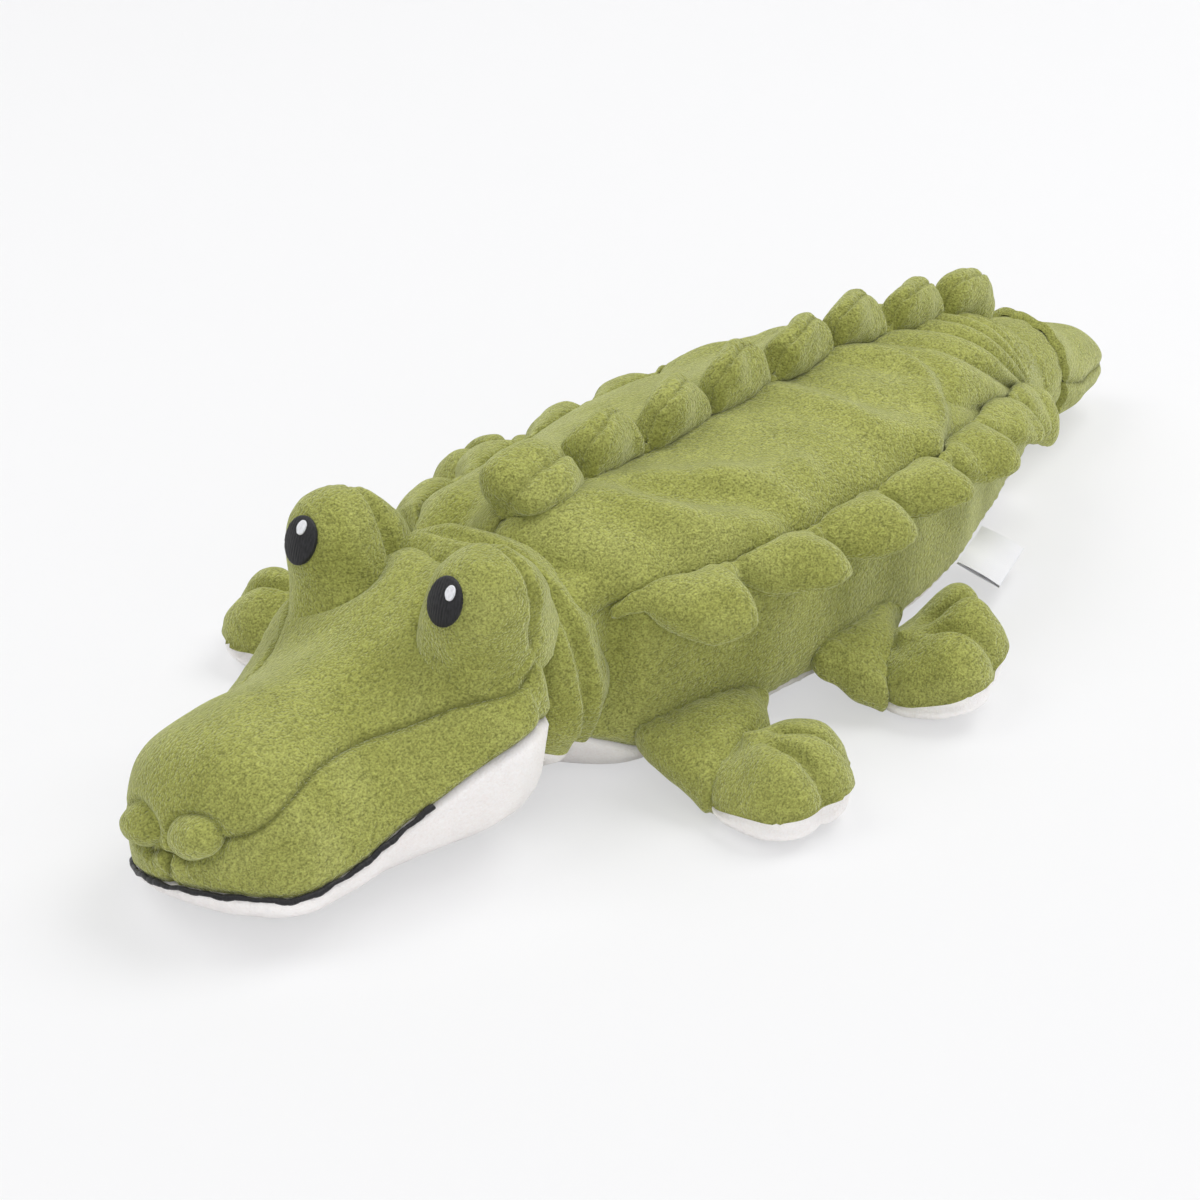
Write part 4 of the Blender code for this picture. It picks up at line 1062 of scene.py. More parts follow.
def scute_strip(name, cad, side, turn_at, bends, bumps, span, sizes, form, pads):
    """A padded strip of scallops on a body seam: plump tabs that spread from low narrow necks."""
    peak, valley, thick = sizes
    skew, drag, spread_out = form
    parts = np.linspace(0, 1, bumps * SCUTE_STEPS + 1)
    foot, along, normal, across = strip_foot(parts, turn_at, span)
    place = parts * bumps
    tall, fat, lean, twist = (np.interp(place, np.arange(bumps) + 0.5, column) for column in np.array(pads).T)
    inside = place - np.minimum(np.floor(place), bumps - 1)
    from_peak = np.abs(2 * inside ** skew - 1)
    wave = np.clip(1 - (from_peak / PAD_WIDTH) ** PAD_POWERS[0], 0, 1) ** PAD_POWERS[1]
    small = 1 + (SCUTE_TAIL_SHARE - 1) * parts
    high = (valley + (peak * tall - valley) * wave) * small
    wide = thick * fat * (PAD_THIN + (1 - PAD_THIN) * wave) * small
    start = side * bends[0] + np.radians(lean) * side * 0.5
    end = side * bends[1] + np.radians(lean) * side
    sway = side * twist * np.sin(TURN * inside)
    carry = (drag + spread_out * (2 * inside - 1)) * wave
    around = np.linspace(-math.pi * SCUTE_OPEN, math.pi * SCUTE_OPEN, SCUTE_COLUMNS)
    from_crest = around - CREST_TURN * side
    grid = np.zeros((len(parts), SCUTE_COLUMNS, 3))
    for j, angle in enumerate(around):
        up_share = 0.5 + 0.5 * math.cos(angle)
        half = 0.5 * float(bulge(math.sin(angle), SECTION_POWERS[0 if math.cos(angle) > 0 else 1]))
        out, aside, turn = arc_place(start, end, up_share)
        flat = across * np.cos(turn)[:, None] - normal * np.sin(turn)[:, None]
        dent = DENT_DEPTH * hill(from_crest[j], DENT_WIDTH)
        out = out * high - dent * np.cos(turn)
        aside = aside * high - dent * np.sin(turn)
        sideways = half * wide + sway * up_share
        grid[:, j] = foot + normal * out[:, None] + across * aside[:, None] + flat * sideways[:, None]
        grid[:, j] += along * (carry * up_share)[:, None]
    ends = np.minimum(parts, 1 - parts) * bumps * 2
    full = np.sqrt(1 - (1 - np.clip(ends / PAD_END, 0, 1)) ** 2)
    centre = grid.mean(axis=1, keepdims=True)
    grid = centre + (grid - centre) * np.maximum(full, PAD_LEAST)[:, None, None]
    piece = Piece(name, grid, around=True)
    height, times = PAD_WRINKLE
    wrinkle = height * np.sin(place * math.pi * times + PAD_WRINKLE_SHIFT)[:, None] * (1 - wave)[:, None]
    height, times = PAD_PUCKER
    pucker = height * np.sin(place * math.pi * times)[:, None] * hill(from_crest, STITCH_WIDTH)[None, :]
    piece.push(lumpy(grid, PAD_LUMPS) + wrinkle + pucker)
    # Painted shade along the seam's dent and round the strip's base, where it meets the body
    low = np.clip(1 - (0.5 + 0.5 * np.cos(around)) / STRIP_BASE_SHADE_SHARE, 0, 1)
    dark = np.maximum(hill(from_crest, CREST_WIDTH) * CREST_SHADE, low * STRIP_BASE_SHADE)
    piece.seam = np.tile(dark, (len(parts), 1))
    piece.place(to_frame, start=True, end=True)
    ride_padded(piece.build(GREEN, [cad], floor=False), "torso")


def make_scutes():
    scute_strip("spine_scute_pads", "spine_scutes", 1, level(0.0), SPINE_BEND, SPINE_BUMPS, SPINE_SPAN,
                SPINE_SIZES, SPINE_FORM, SPINE_PADS)
    for word, side in SIDES:
        scute_strip(word + "_scute_pads", word + "_scutes", side, scute_seam(side),
                    SIDE_BENDS[word], SIDE_BUMPS, SIDE_SPAN, SIDE_SIZES, SIDE_FORM, SIDE_PADS)


# Neck: two soft rolls of slack cloth between head and body

# place along the toy and radius of each ring
ROLL_ROWS = (
    (-0.0560, 0.0235), (-0.0520, 0.0268), (-0.0485, 0.0308), (-0.0452, 0.0326), (-0.0418, 0.0302),
    (-0.0385, 0.0322), (-0.0350, 0.0308), (-0.0310, 0.0286), (-0.0270, 0.0248),
)
ROLL_COUNT = 64
ROLL_COLUMNS = (150, 60)
ROLL_SLANT = 0.0025
ROLL_SLANT_TURN = 1.05
ROLL_WAVE = 0.0008
ROLL_TOP_DROP = 0.0012
ROLL_TOP = (0.55, 0.95)
ROLL_THROAT_LIFT = 0.0040
ROLL_THROAT = (0.2, 0.8)
ROLL_FLOOR = 0.0004
ROLL_LUMPS = ((0.010, 0.0012, 8), (0.004, 0.0003, 9))


def roll_grid(turns):
    ys = np.linspace(ROLL_ROWS[0][0], ROLL_ROWS[-1][0], ROLL_COUNT)
    radii = smooth_rows(ROLL_ROWS, ys)
    y, turn = np.meshgrid(ys, turns, indexing="ij")
    slant = ROLL_SLANT * np.sin(np.abs(turn) - ROLL_SLANT_TURN) + ROLL_WAVE * np.sin(3 * turn)
    radius = (radii - ROLL_TOP_DROP * ease(np.cos(turn), *ROLL_TOP)
              - ROLL_THROAT_LIFT * ease(-np.cos(turn), *ROLL_THROAT))
    z = NECK_HEIGHT + radius * np.cos(turn)
    grid = np.stack((radius * np.sin(turn), y + slant, np.maximum(z, ROLL_FLOOR)), -1)
    return grid + outward(grid) * lumpy(grid, ROLL_LUMPS)[..., None]


def make_neck():
    upper, under = around_body(*ROLL_COLUMNS)
    for name, turns, cloth, nodes in (
        ("neck_fold_skin", upper, GREEN, ["neck_roll"]),
        ("throat_fold_skin", under, CREAM, []),
    ):
        piece = Piece(name, roll_grid(turns))
        piece.place(to_frame)
        obj = piece.build(cloth, nodes)
        blend_padded(obj)


# Head

NOSE_SEAM_SHARE = 0.006
NOSE_CENTRE_SHARE = 0.002
NOSE_TIP_SHARE = 0.000001
NOSE_CROWD = 2.4
HEAD_SEAM_LAST = 0.93
HEAD_SEAM_COUNT = 120
# crest height, half width and the places along and round the head that each soft fold follows
HEAD_FOLDS = [
    fold for _, side in SIDES for fold in (
        (-0.0016, 0.0022, ((0.885, side * 64.0), (0.900, side * 76.0), (0.905, side * 90.0))),
        (0.0012, 0.0040, ((0.955, side * 58.0), (0.960, side * 74.0), (0.965, side * 90.0))))
]
HEAD_LUMPS = ((0.022, 0.0007, 11), (0.007, 0.00022, 12))

# The swelling up to each turret and the crease round its foot
BASE_SWELL = 0.0014
BASE_SWELL_AT = 0.004
BASE_SWELL_WIDTH = 0.0055
BASE_CREASE = (0.0008, 0.0010)
BASE_CREASE_WIDTH = 0.0020
BASE_OUTER = (0.001, 0.009)
BASE_BELOW = (0.001, 0.007)
NOSTRIL_GROOVE = 0.0012
NOSTRIL_GROOVE_WIDTH = 0.24

CHIN_IN = 0.27
CHIN_BACK = 0.0085
CHIN_POWER = 1.7
CHIN_IN_FADE = (0.35, 0.80)
CHIN_BACK_FADE = (0.10, 0.55)
HEAD_ROWS = 150
HEAD_TOP_ROWS = 140
HEAD_TOP_FIRST = 0.8 * NOSE_CENTRE_SHARE
HEAD_TOP_COLUMNS = 90
CHEEK_COLUMNS = 50
CHIN_COLUMNS = 70
NOSE_UNDER = 0.0004
NOSE_UNDER_FADE = (0.6 * NOSE_SEAM_SHARE, 1.6 * NOSE_SEAM_SHARE)


def turret_centre(side):
    return np.array((side * EYE_APART / 2, -EYE_FORWARD, TURRET_HEIGHT))


def nostril_centre(side):
    return np.array((side * NOSTRIL_APART / 2, NOSTRIL_SUNK - NOSTRIL_FORWARD, NOSTRIL_HEIGHT))


def leaned(points, lean):
    x = points[..., 0] * math.cos(lean) + points[..., 2] * math.sin(lean)
    z = points[..., 2] * math.cos(lean) - points[..., 0] * math.sin(lean)
    return np.stack((x, points[..., 1], z), -1)


def turret_distance(points, side):
    """Roughly how far a point of the head's frame is from a turret's surface."""
    local = leaned(points - turret_centre(side), -side * TURRET_LEAN) / np.array(TURRET_HALF)
    size = np.linalg.norm(local, axis=-1)
    return (size - 1) * size / np.maximum(np.linalg.norm(local / np.array(TURRET_HALF), axis=-1), SMALL)


def top_seam(share):
    return float(smooth_rows(TOP_SEAM_SHARES, share)[0]) * math.pi / 2


def cheek_edge(share):
    """Where a cheek panel begins: at the nose's centre on its tip, then at the seam with the top panel."""
    return top_seam(share) * float(ease(share, NOSE_CENTRE_SHARE, NOSE_SEAM_SHARE))


def nose_crowd(first, last, count):
    """Shares that crowd towards the blunt nose."""
    return first + (last - first) * np.linspace(0, 1, count) ** NOSE_CROWD


def head_seam(turn_at, first, last):
    shares = nose_crowd(first, last, HEAD_SEAM_COUNT)
    return HEAD.points(shares, np.array([turn_at(s) for s in shares]))


HEAD_SEAMS = (
    head_seam(cheek_edge, NOSE_CENTRE_SHARE, HEAD_SEAM_LAST),
    head_seam(lambda s: -cheek_edge(s), NOSE_CENTRE_SHARE, HEAD_SEAM_LAST),
    head_seam(level(90), NOSE_TIP_SHARE, 1.0),
    head_seam(level(-90), NOSE_TIP_SHARE, 1.0),
    head_seam(level(0), NOSE_TIP_SHARE, NOSE_CENTRE_SHARE),
)


def turret_foot(grid):
    """The head swells softly up to each turret, and a crease runs round its outer and lower side."""
    push = np.zeros(grid.shape[:-1])
    for _, side in SIDES:
        away = turret_distance(grid, side)
        place = turret_centre(side)
        outer = ease(side * (grid[..., 0] - place[0]), *BASE_OUTER)
        outer = outer * ease(place[2] - grid[..., 2], *BASE_BELOW)
        push += BASE_SWELL * hill(away - BASE_SWELL_AT, BASE_SWELL_WIDTH) * (1 - outer)
        push -= (BASE_CREASE[0] + BASE_CREASE[1] * outer) * hill(away, BASE_CREASE_WIDTH)
    return push


def head_relief(grid):
    push = turret_foot(grid)
    for _, side in SIDES:
        away = np.linalg.norm((grid - nostril_centre(side)) / np.array(NOSTRIL_HALF), axis=-1) - 1
        push -= NOSTRIL_GROOVE * hill(away, NOSTRIL_GROOVE_WIDTH)
    for height, width, places in HEAD_FOLDS:
        line = [HEAD.points(np.array([s]), np.array([math.radians(d)]))[0] for s, d in places]
        push += height * hill(line_distance(grid, fine_line(line)), width)
    push += lumpy(grid, HEAD_LUMPS)
    for line in HEAD_SEAMS:
        push -= groove(grid, line, HEAD_SEAM_DEPTH, HEAD_SEAM_WIDTH)
    return push


def chin_drawn_in(grid, shares):
    """The chin lies behind and inside the edge of the upper jaw."""
    share = np.array(shares)[:, None]
    line = smooth_rows(HEAD.rows, np.array(shares))[:, 3][:, None]
    deep = np.clip((line - grid[..., 2]) / line, 0, 1) ** CHIN_POWER
    grid = grid.copy()
    grid[..., 0] *= 1 - CHIN_IN * deep * (1 - ease(share, *CHIN_IN_FADE))
    grid[..., 1] += CHIN_BACK * deep * (1 - ease(share, *CHIN_BACK_FADE))
    return grid


def head_panel(name, cad, grid, cloth, nose_tuck=None):
    """A panel of the head; nose_tuck says how far each row lies under the cheeks' seam."""
    piece = Piece(name, grid)
    # Painted shade along the hollows of the head's seams
    piece.mark(HEAD_SEAMS, HEAD_SHADE_WIDTH)
    push = head_relief(grid)
    if nose_tuck is not None:
        push = push - nose_tuck[:, None]
    piece.push(push)
    piece.tuck_edges(first_row=False, columns=nose_tuck is None, depth=HEAD_TUCK)
    piece.place(head_to_frame)
    obj = piece.build(cloth, [cad])
    blend_padded(obj)


def make_head():
    shares = nose_crowd(HEAD_TOP_FIRST, 1.0, HEAD_TOP_ROWS)
    top = HEAD.grid(shares, lambda s: spread(-top_seam(s), top_seam(s), HEAD_TOP_COLUMNS))
    under = NOSE_UNDER * (1 - ease(shares, *NOSE_UNDER_FADE))
    head_panel("head_top_skin", "head_top_panel", top, GREEN, under)
    shares = nose_crowd(NOSE_TIP_SHARE, 1.0, HEAD_ROWS)
    for word, side in SIDES:
        cheek = HEAD.grid(shares, lambda s: spread(side * cheek_edge(s), side * math.pi / 2, CHEEK_COLUMNS))
        head_panel("cheek_skin_" + word, "cheek_panel_" + word, cheek, GREEN)
    chin = HEAD.grid(shares, lambda s: spread(math.pi / 2, 3 * math.pi / 2, CHIN_COLUMNS))
    head_panel("chin_skin", "chin_panel", chin_drawn_in(chin, shares), CREAM)


def on_head(piece, cloth, nodes, end=True):
    """A piece of the head's frame that rides on the head, closed at its first ring and perhaps its last."""
    piece.place(head_to_frame, start=True, end=end)
    obj = piece.build(cloth, nodes)
    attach(obj, "head")


# Eye turrets

TURRET_SKIRT = math.radians(80.0)
TURRET_TIP = 0.04
TURRET_GRID = (90, 120)
TURRET_POWER = 0.92
TURRET_HOOD = 0.75
HOOD_HEIGHTS = (-0.95, 0.50)
HOOD_REAR = (0.0, 0.9)
SKIRT_FLARE = (0.14, 0.02)
SKIRT_OUTER = (0.1, 0.8)
SKIRT_POWER = 1.6
SKIRT_DROP = 0.92
TURRET_LUMPS = (0.009, 0.0007, 13)
TURRET_FINE_LUMPS = (0.004, 0.0002, 15)
TURRET_REAR = 0.0007
TURRET_REAR_FADE = (0.0030, 0.0090)
ARCH_PAST = 0.5
ARCH_COUNT = 70
ARCH_RADIUS = 0.90
ARCH_BACK = 0.42


def turret_surface(direction, side):
    """The turret's surface in a direction, in the head's frame."""
    local = bulge(direction, TURRET_POWER) * np.array(TURRET_HALF)
    return turret_centre(side) + leaned(local, side * TURRET_LEAN)


def turret_arch(side):
    """The seam that arches over a turret behind its eye."""
    angle = np.linspace(-ARCH_PAST, math.pi + ARCH_PAST, ARCH_COUNT)
    back = np.full(ARCH_COUNT, ARCH_BACK)
    arch = np.stack((np.cos(angle) * ARCH_RADIUS, back, np.sin(angle) * ARCH_RADIUS), -1)
    return turret_surface(unit(arch), side)


def turret_grid(side):
    """A dome with a hood to its rear and a skirt that goes into the head."""
    rows, columns = TURRET_GRID
    polar = np.linspace(TURRET_TIP, TURRET_SKIRT + 1.0, rows)
    p, a = np.meshgrid(polar, ring(columns), indexing="ij")
    low = np.clip(p - TURRET_SKIRT, 0, 1)
    dome = np.minimum(p, TURRET_SKIRT)
    flare = SKIRT_FLARE[0] - SKIRT_FLARE[1] * ease(side * np.cos(a), *SKIRT_OUTER)
    wide = np.sin(dome) + flare * low ** SKIRT_POWER
    high = np.cos(dome) - SKIRT_DROP * low
    hood = 1 + TURRET_HOOD * ease(-high, *HOOD_HEIGHTS) * ease(np.sin(a), *HOOD_REAR)
    return turret_surface(np.stack((wide * np.cos(a), wide * np.sin(a) * hood, high), -1), side)


def make_turrets():
    size, amount, seed = TURRET_LUMPS
    for word, side in SIDES:
        grid = turret_grid(side)
        arch = turret_arch(side)
        piece = Piece("turret_skin_" + word, grid, around=True)
        push = lumpy(grid, ((size, amount, seed + side), TURRET_FINE_LUMPS))
        push -= groove(grid, arch, ARCH_SEAM_DEPTH, ARCH_SEAM_WIDTH, ARCH_PUCKER_SHARE)
        push += TURRET_REAR * ease(grid[..., 1] - turret_centre(side)[1], *TURRET_REAR_FADE)
        piece.push(push)
        # Painted shade along the hollow of the arch seam
        piece.mark([arch], ARCH_SHADE_WIDTH)
        on_head(piece, GREEN, ["eye_turret_" + word], end=False)


# Embroidered eyes

EYE_OUT = math.radians(4.0)
EYE_UP = math.radians(32.0)
EYE_SIZE = (0.0092, 0.0112)
GLINT_SIZE = (0.0021, 0.0031)
GLINT_SHIFTS = {"left": (-0.0016, 0.0024), "right": (-0.0002, 0.0030)}
# how far each oval stands off the turret, and how ragged its edge is
EYE_LIFT = 0.0008
EYE_RAGGED = 0.012
GLINT_LIFT = 0.0012
GLINT_RAGGED = 0.02
OVAL_THICK = 0.0007
OVAL_SUNK = -0.0012
OVAL_COLUMNS = 96
OVAL_RINGS = 16
OVAL_STEPS = spread(0.05, 0.9, OVAL_RINGS) + [0.95, 0.985, 1.0, 1.0]
OVAL_RISES = [OVAL_THICK] * OVAL_RINGS + [0.85 * OVAL_THICK, 0.55 * OVAL_THICK, 0.2 * OVAL_THICK, OVAL_SUNK]
STITCH_WAVES = (37, 53)
STITCH_SECOND_SHARE = 0.6
STRAND_HEIGHT = 0.00006
STRAND_WAVES = 9000


def eye_frame(side):
    aim = np.array((side * math.sin(EYE_OUT) * math.cos(EYE_UP), -math.cos(EYE_OUT) * math.cos(EYE_UP),
                    math.sin(EYE_UP)))
    right = unit(np.cross(aim, UP))
    return aim, right, np.cross(right, aim)


def oval(name, cad, side, size, shift, lift, cloth, ragged):
    """An embroidered oval that swells over the turret, its edge uneven by single stitches."""
    aim, right, up = eye_frame(side)
    half = np.array(TURRET_HALF)
    around = ring(OVAL_COLUMNS)
    edge = (1 + ragged * np.sin(around * STITCH_WAVES[0] + 1) * np.abs(np.cos(around))
            + ragged * STITCH_SECOND_SHARE * np.sin(around * STITCH_WAVES[1]))
    rings = []
    for step, high in zip(OVAL_STEPS, OVAL_RISES):
        across = size[0] / 2 * step * np.cos(around) * edge + shift[0]
        above = size[1] / 2 * step * np.sin(around) * edge + shift[1]
        ray = aim * half.mean() + right * across[:, None] + up * above[:, None]
        local = leaned(ray, -side * TURRET_LEAN)
        local = local / np.linalg.norm(local / half, axis=1, keepdims=True)
        strand = STRAND_HEIGHT * np.sin(across * STRAND_WAVES)
        local = local + unit(local / half ** 2) * (lift + high + strand)[:, None]
        rings.append(turret_centre(side) + leaned(local, side * TURRET_LEAN))
    on_head(Piece(name, np.array(rings), around=True), cloth, [cad], end=False)


def make_eyes():
    for word, side in SIDES:
        oval("eye_stitching_" + word, "eye_" + word, side, EYE_SIZE, (0.0, 0.0), EYE_LIFT, BLACK, EYE_RAGGED)
        oval("glint_stitching_" + word, "eye_glint_" + word, side, GLINT_SIZE, GLINT_SHIFTS[word], GLINT_LIFT,
             WHITE, GLINT_RAGGED)


# Nostrils, each with its fold

NOSTRIL_TIP = 0.06
NOSTRIL_GRID = (44, 64)
NOSTRIL_LUMPS = (0.005, 0.0005, 17)
# share along the fold, then its way across, back and up from the nostril's middle
NOSTRIL_FOLD = (
    (0.0, -0.0058, -0.0008, -0.0026), (0.3, -0.0058, 0.0010, 0.0024), (0.5, -0.0034, 0.0028, 0.0052),
    (0.75, 0.0020, 0.0036, 0.0040), (1.0, 0.0070, 0.0030, 0.0002),
)
FOLD_GRID = (60, 26)
FOLD_LEAN = (0.0, 1.0, 0.4)
FOLD_THICK = 0.0017
FOLD_END_SHARE = 0.02
FOLD_OVER_SHARE = 1.20
FOLD_LUMPS = (0.004, 0.0004, 18)


def tube(path, aside, over, thick, columns, over_share=1.0):
    """Rings of some thickness about a path, across its two side directions."""
    around = ring(columns)[None, :, None]
    across = np.cos(around) * aside[:, None] + over_share * np.sin(around) * over[:, None]
    return path[:, None] + thick[:, None, None] * across


def make_nostril(word, side):
    rows, columns = NOSTRIL_GRID
    p, a = np.meshgrid(np.linspace(NOSTRIL_TIP, math.pi - NOSTRIL_TIP, rows), ring(columns), indexing="ij")
    direction = np.stack((np.sin(p) * np.cos(a), np.sin(p) * np.sin(a), np.cos(p)), -1)
    grid = nostril_centre(side) + direction * np.array(NOSTRIL_HALF)
    piece = Piece("nostril_skin_" + word, grid, around=True)
    piece.push(lumps(grid, *NOSTRIL_LUMPS))
    on_head(piece, GREEN, ["nostril_" + word])


def make_nostril_fold(word, side):
    """A pinched fold of cloth that arches over a nostril like a small ear."""
    rows, columns = FOLD_GRID
    mirror = np.array((side, 1.0, 1.0))
    share = np.linspace(0, 1, rows)
    path = (smooth_rows(NOSTRIL_FOLD, share) + nostril_centre(side) * mirror) * mirror
    along = unit(np.gradient(path, axis=0))
    aside = unit(np.cross(along, np.array(FOLD_LEAN)))
    thick = FOLD_THICK * np.sqrt(np.clip(1 - (2 * share - 1) ** 4, FOLD_END_SHARE, 1))
    grid = tube(path, aside, np.cross(aside, along), thick, columns, FOLD_OVER_SHARE)
    piece = Piece("nostril_fold_" + word, grid, around=True)
    piece.push(lumps(grid, *FOLD_LUMPS))
    on_head(piece, GREEN, [])


def make_nostrils():
    for word, side in SIDES:
        make_nostril(word, side)
        make_nostril_fold(word, side)


# Mouth

MOUTH_END_SHARE = 0.55
MOUTH_FIRST = 0.004
MOUTH_CROWD = 1.6
MOUTH_POINTS = 260
MOUTH_GRID = (700, 12)
MOUTH_CORD = 0.0006
MOUTH_STITCH = 0.0027
MOUTH_MIDDLE = (0.0, -0.05, 0.02)
MOUTH_OUT = 0.0001
CORD_THIN = 0.86
CORD_SWELL = 0.24
# share, waves per stitch and shift of the cord's uneven thickness
CORD_UNEVEN = ((0.12, 1.7, 0), (0.12, 0.9, 2))
# height, waves per metre and shift of its wandering
CORD_WANDER = ((0.00016, 900, 0), (0.00012, 410, 1))


def make_mouth():
    """The black back-stitched cord along the edge of the upper jaw, round the nose."""
    rows, columns = MOUTH_GRID
    shares = MOUTH_END_SHARE * np.linspace(1, MOUTH_FIRST, MOUTH_POINTS) ** MOUTH_CROWD
    side = HEAD.points(shares, np.full(len(shares), math.pi / 2))
    path = np.concatenate((side, side[::-1] * np.array((-1.0, 1.0, 1.0))))
    length = np.concatenate(((0.0,), np.cumsum(np.linalg.norm(np.diff(path, axis=0), axis=1))))
    even = np.linspace(0, length[-1], rows)
    path = np.stack([np.interp(even, length, path[:, k]) for k in range(3)], -1)
    along = unit(np.gradient(path, axis=0))
    aside = unit(np.cross(along, UP))
    over = np.cross(aside, along)
    out = np.sign((aside * (path - np.array(MOUTH_MIDDLE))).sum(axis=1))[:, None] * aside
    stitch = even / MOUTH_STITCH
    near = np.abs(np.modf(stitch)[0] - 0.5) * 2
    thick = MOUTH_CORD * (CORD_THIN + CORD_SWELL * np.sqrt(np.clip(1 - near ** 2, 0, 1)))
    thick = thick * (1 + sum(share * np.sin(stitch * times + shift) for share, times, shift in CORD_UNEVEN))
    wander = sum(height * np.sin(even * times + shift) for height, times, shift in CORD_WANDER)
    path = path + out * MOUTH_OUT + over * wander[:, None]
    piece = Piece("mouth_stitching", tube(path, aside, over, thick, columns), around=True)
    on_head(piece, BLACK, ["mouth_stitch"])


# Leg sleeves

SLEEVE_GRID = (64, 96)
SLEEVE_RUN = (-0.35, 1.20)
SLEEVE_PUFF = 0.0022
SLEEVE_PUFF_POWER = 0.8
SLEEVE_POWERS = (0.72, 0.88)
# where the sleeve starts to narrow inside the foot, and how fast it does so there and inside the body
SLEEVE_NARROW_AT = 0.94
SLEEVE_NARROW = 2.2
SLEEVE_NARROW_IN = 0.5
SLEEVE_RIPPLE = 0.00035
SLEEVE_RIPPLE_WAVES = 1500
SLEEVE_RIPPLE_SHIFT = 0.8
SLEEVE_RIPPLE_REACH = 0.20
SLEEVE_LUMPS = ((0.011, 0.0016, 21), (0.0045, 0.00035, 22))


def sleeve_grid(word, side):
    """A soft flat sleeve from inside the flank, past its root seam, to inside the foot."""
    hip, _, hip_along = axis_frame(word + "_hip_lift", side)
    ankle, _, ankle_along = axis_frame(word + "_ankle_bend", side)
    rows, columns = SLEEVE_GRID
    run = np.linspace(*SLEEVE_RUN, rows)
    inside = np.clip(run, 0, 1)
    past = np.clip(run - SLEEVE_NARROW_AT, 0, 1)
    shrink = 1 - SLEEVE_NARROW * past - SLEEVE_NARROW_IN * np.clip(-run, 0, 1)
    half_wide = ((1 - inside) * LEG_ROOT_WIDTH / 2 + inside * ANKLE_HALF_WIDE) * shrink
    puff = SLEEVE_PUFF * np.sin(math.pi * inside) ** SLEEVE_PUFF_POWER
    half_high = ((1 - inside) * LEG_ROOT_HALF_HIGH + inside * ANKLE_HALF_HIGH + puff) * shrink
    centre = hip + (ankle - hip) * run[:, None]
    centre[:, 2] = (1 - inside) * HIP_HEIGHT + inside * ANKLE_MIDDLE
    wide = unit(hip_along * (1 - inside)[:, None] + ankle_along * inside[:, None])
    around = ring(columns)
    side_share = bulge(np.cos(around), SLEEVE_POWERS[0])
    up_share = bulge(np.sin(around), SLEEVE_POWERS[1])
    grid = (centre[:, None] + wide[:, None] * (half_wide[:, None] * side_share)[..., None]
            + UP * (half_high[:, None] * up_share)[..., None])
    near_seams = hill(run, SLEEVE_RIPPLE_REACH) + hill(1 - run, SLEEVE_RIPPLE_REACH)
    ripple = np.sin(side_share * half_wide[:, None] * SLEEVE_RIPPLE_WAVES + SLEEVE_RIPPLE_SHIFT)
    return grid, SLEEVE_RIPPLE * ripple * near_seams[:, None]


def in_place(points):
    """A leg is made in the frame's place already."""
    return points


def make_sleeve(word, side):
    grid, ripple = sleeve_grid(word, side)
    piece = Piece(word + "_sleeve", grid, around=True)
    piece.push(ripple + lumpy(grid, SLEEVE_LUMPS))
    piece.place(in_place, start=True, end=True)
    obj = piece.build(GREEN, [word + "_leg"])
    blend_padded(obj)


# Feet

SOLE_RIM = 0.0066
SOLE_TOE_RIM = 0.0026
TOE_STEP = 36.0
TOE_LINES = (-18.0, 18.0)
# distance from the ankle, turn, half length, half width and height above the rim of each lobe of a foot
FOOT_LOBES = (
    (0.0148, -TOE_STEP, 0.0106, 0.0094, 0.0104),
    (0.0158, 0.0, 0.0108, 0.0092, 0.0110),
    (0.0148, TOE_STEP, 0.0106, 0.0094, 0.0104),
    (0.0050, 0.0, 0.0110, 0.0160, 0.0096),
)
# how far the toes and the rear toe of a foot are lifted off the floor, where it isn't flat
FOOT_LIFTS = {"hind_left": (0.0030, 0.0064)}
TOE_LIFT_AHEAD = (0.002, 0.022)
REAR_LIFT_AHEAD = (0.004, 0.020)
REAR_LIFT_ASIDE = (-0.010, 0.014)
TOE_TURNS = {"front_left": 13.0, "front_right": 0.0, "hind_left": 13.0, "hind_right": 10.0}
FOOT_GRID = (54, 200)
FOOT_FIRST = 0.02
REACH_SPAN = (0.002, 0.030)
REACH_COUNT = 700
# how sharply the lobes meet at the outline and above
OUTLINE_POWER = 9.0
DOME_POWER = 5.0
RIM_POWER = 8
CREASE_POWER = 6
TOE_CREASE_WIDTH = 0.0015
TOE_CREASE_FADE = (0.005, 0.012)
UPPER_CREASE = 0.0026
SOLE_CREASE = 0.0012
SOLE_CREASE_FADE = (0.5, 0.95)
SOLE_POWERS = (2.2, 1.4)
FOOT_LUMPS = ((0.009, 0.0007, 23), (0.003, 0.00018, 24))
RIM_WIDTH = 0.03
RIM_DRAWN_IN = {"upper": 0.0003, "sole": 0.0011}
FOOT_SHADE = 0.3


def turned(x, y, degrees):
    """Places seen from a direction that many degrees round: ahead in it, and aside."""
    c, s = math.cos(math.radians(degrees)), math.sin(math.radians(degrees))
    return x * c + y * s, y * c - x * s


def lobe_distance(x, y, lobe):
    """Distance from the middle of an oval lobe, 1 on its outline."""
    away, degrees, half_long, half_wide = lobe[:4]
    ahead, aside = turned(x, y, degrees)
    return np.hypot((ahead - away) / half_long, aside / half_wide)


def foot_outline(turns):
    """How far a foot reaches from its ankle in each direction, round the outline of its lobes."""
    reach = np.linspace(*REACH_SPAN, REACH_COUNT)
    r, t = np.meshgrid(reach, turns, indexing="ij")
    near = np.array([lobe_distance(r * np.cos(t), r * np.sin(t), lobe) for lobe in FOOT_LOBES])
    field = (near ** -OUTLINE_POWER).sum(axis=0) ** (-1 / OUTLINE_POWER)
    inside = field <= 1.0
    last = len(reach) - 1 - np.argmax(inside[::-1], axis=0)
    edge = reach[last]
    return (np.roll(edge, 1) + 2 * edge + np.roll(edge, -1)) / 4


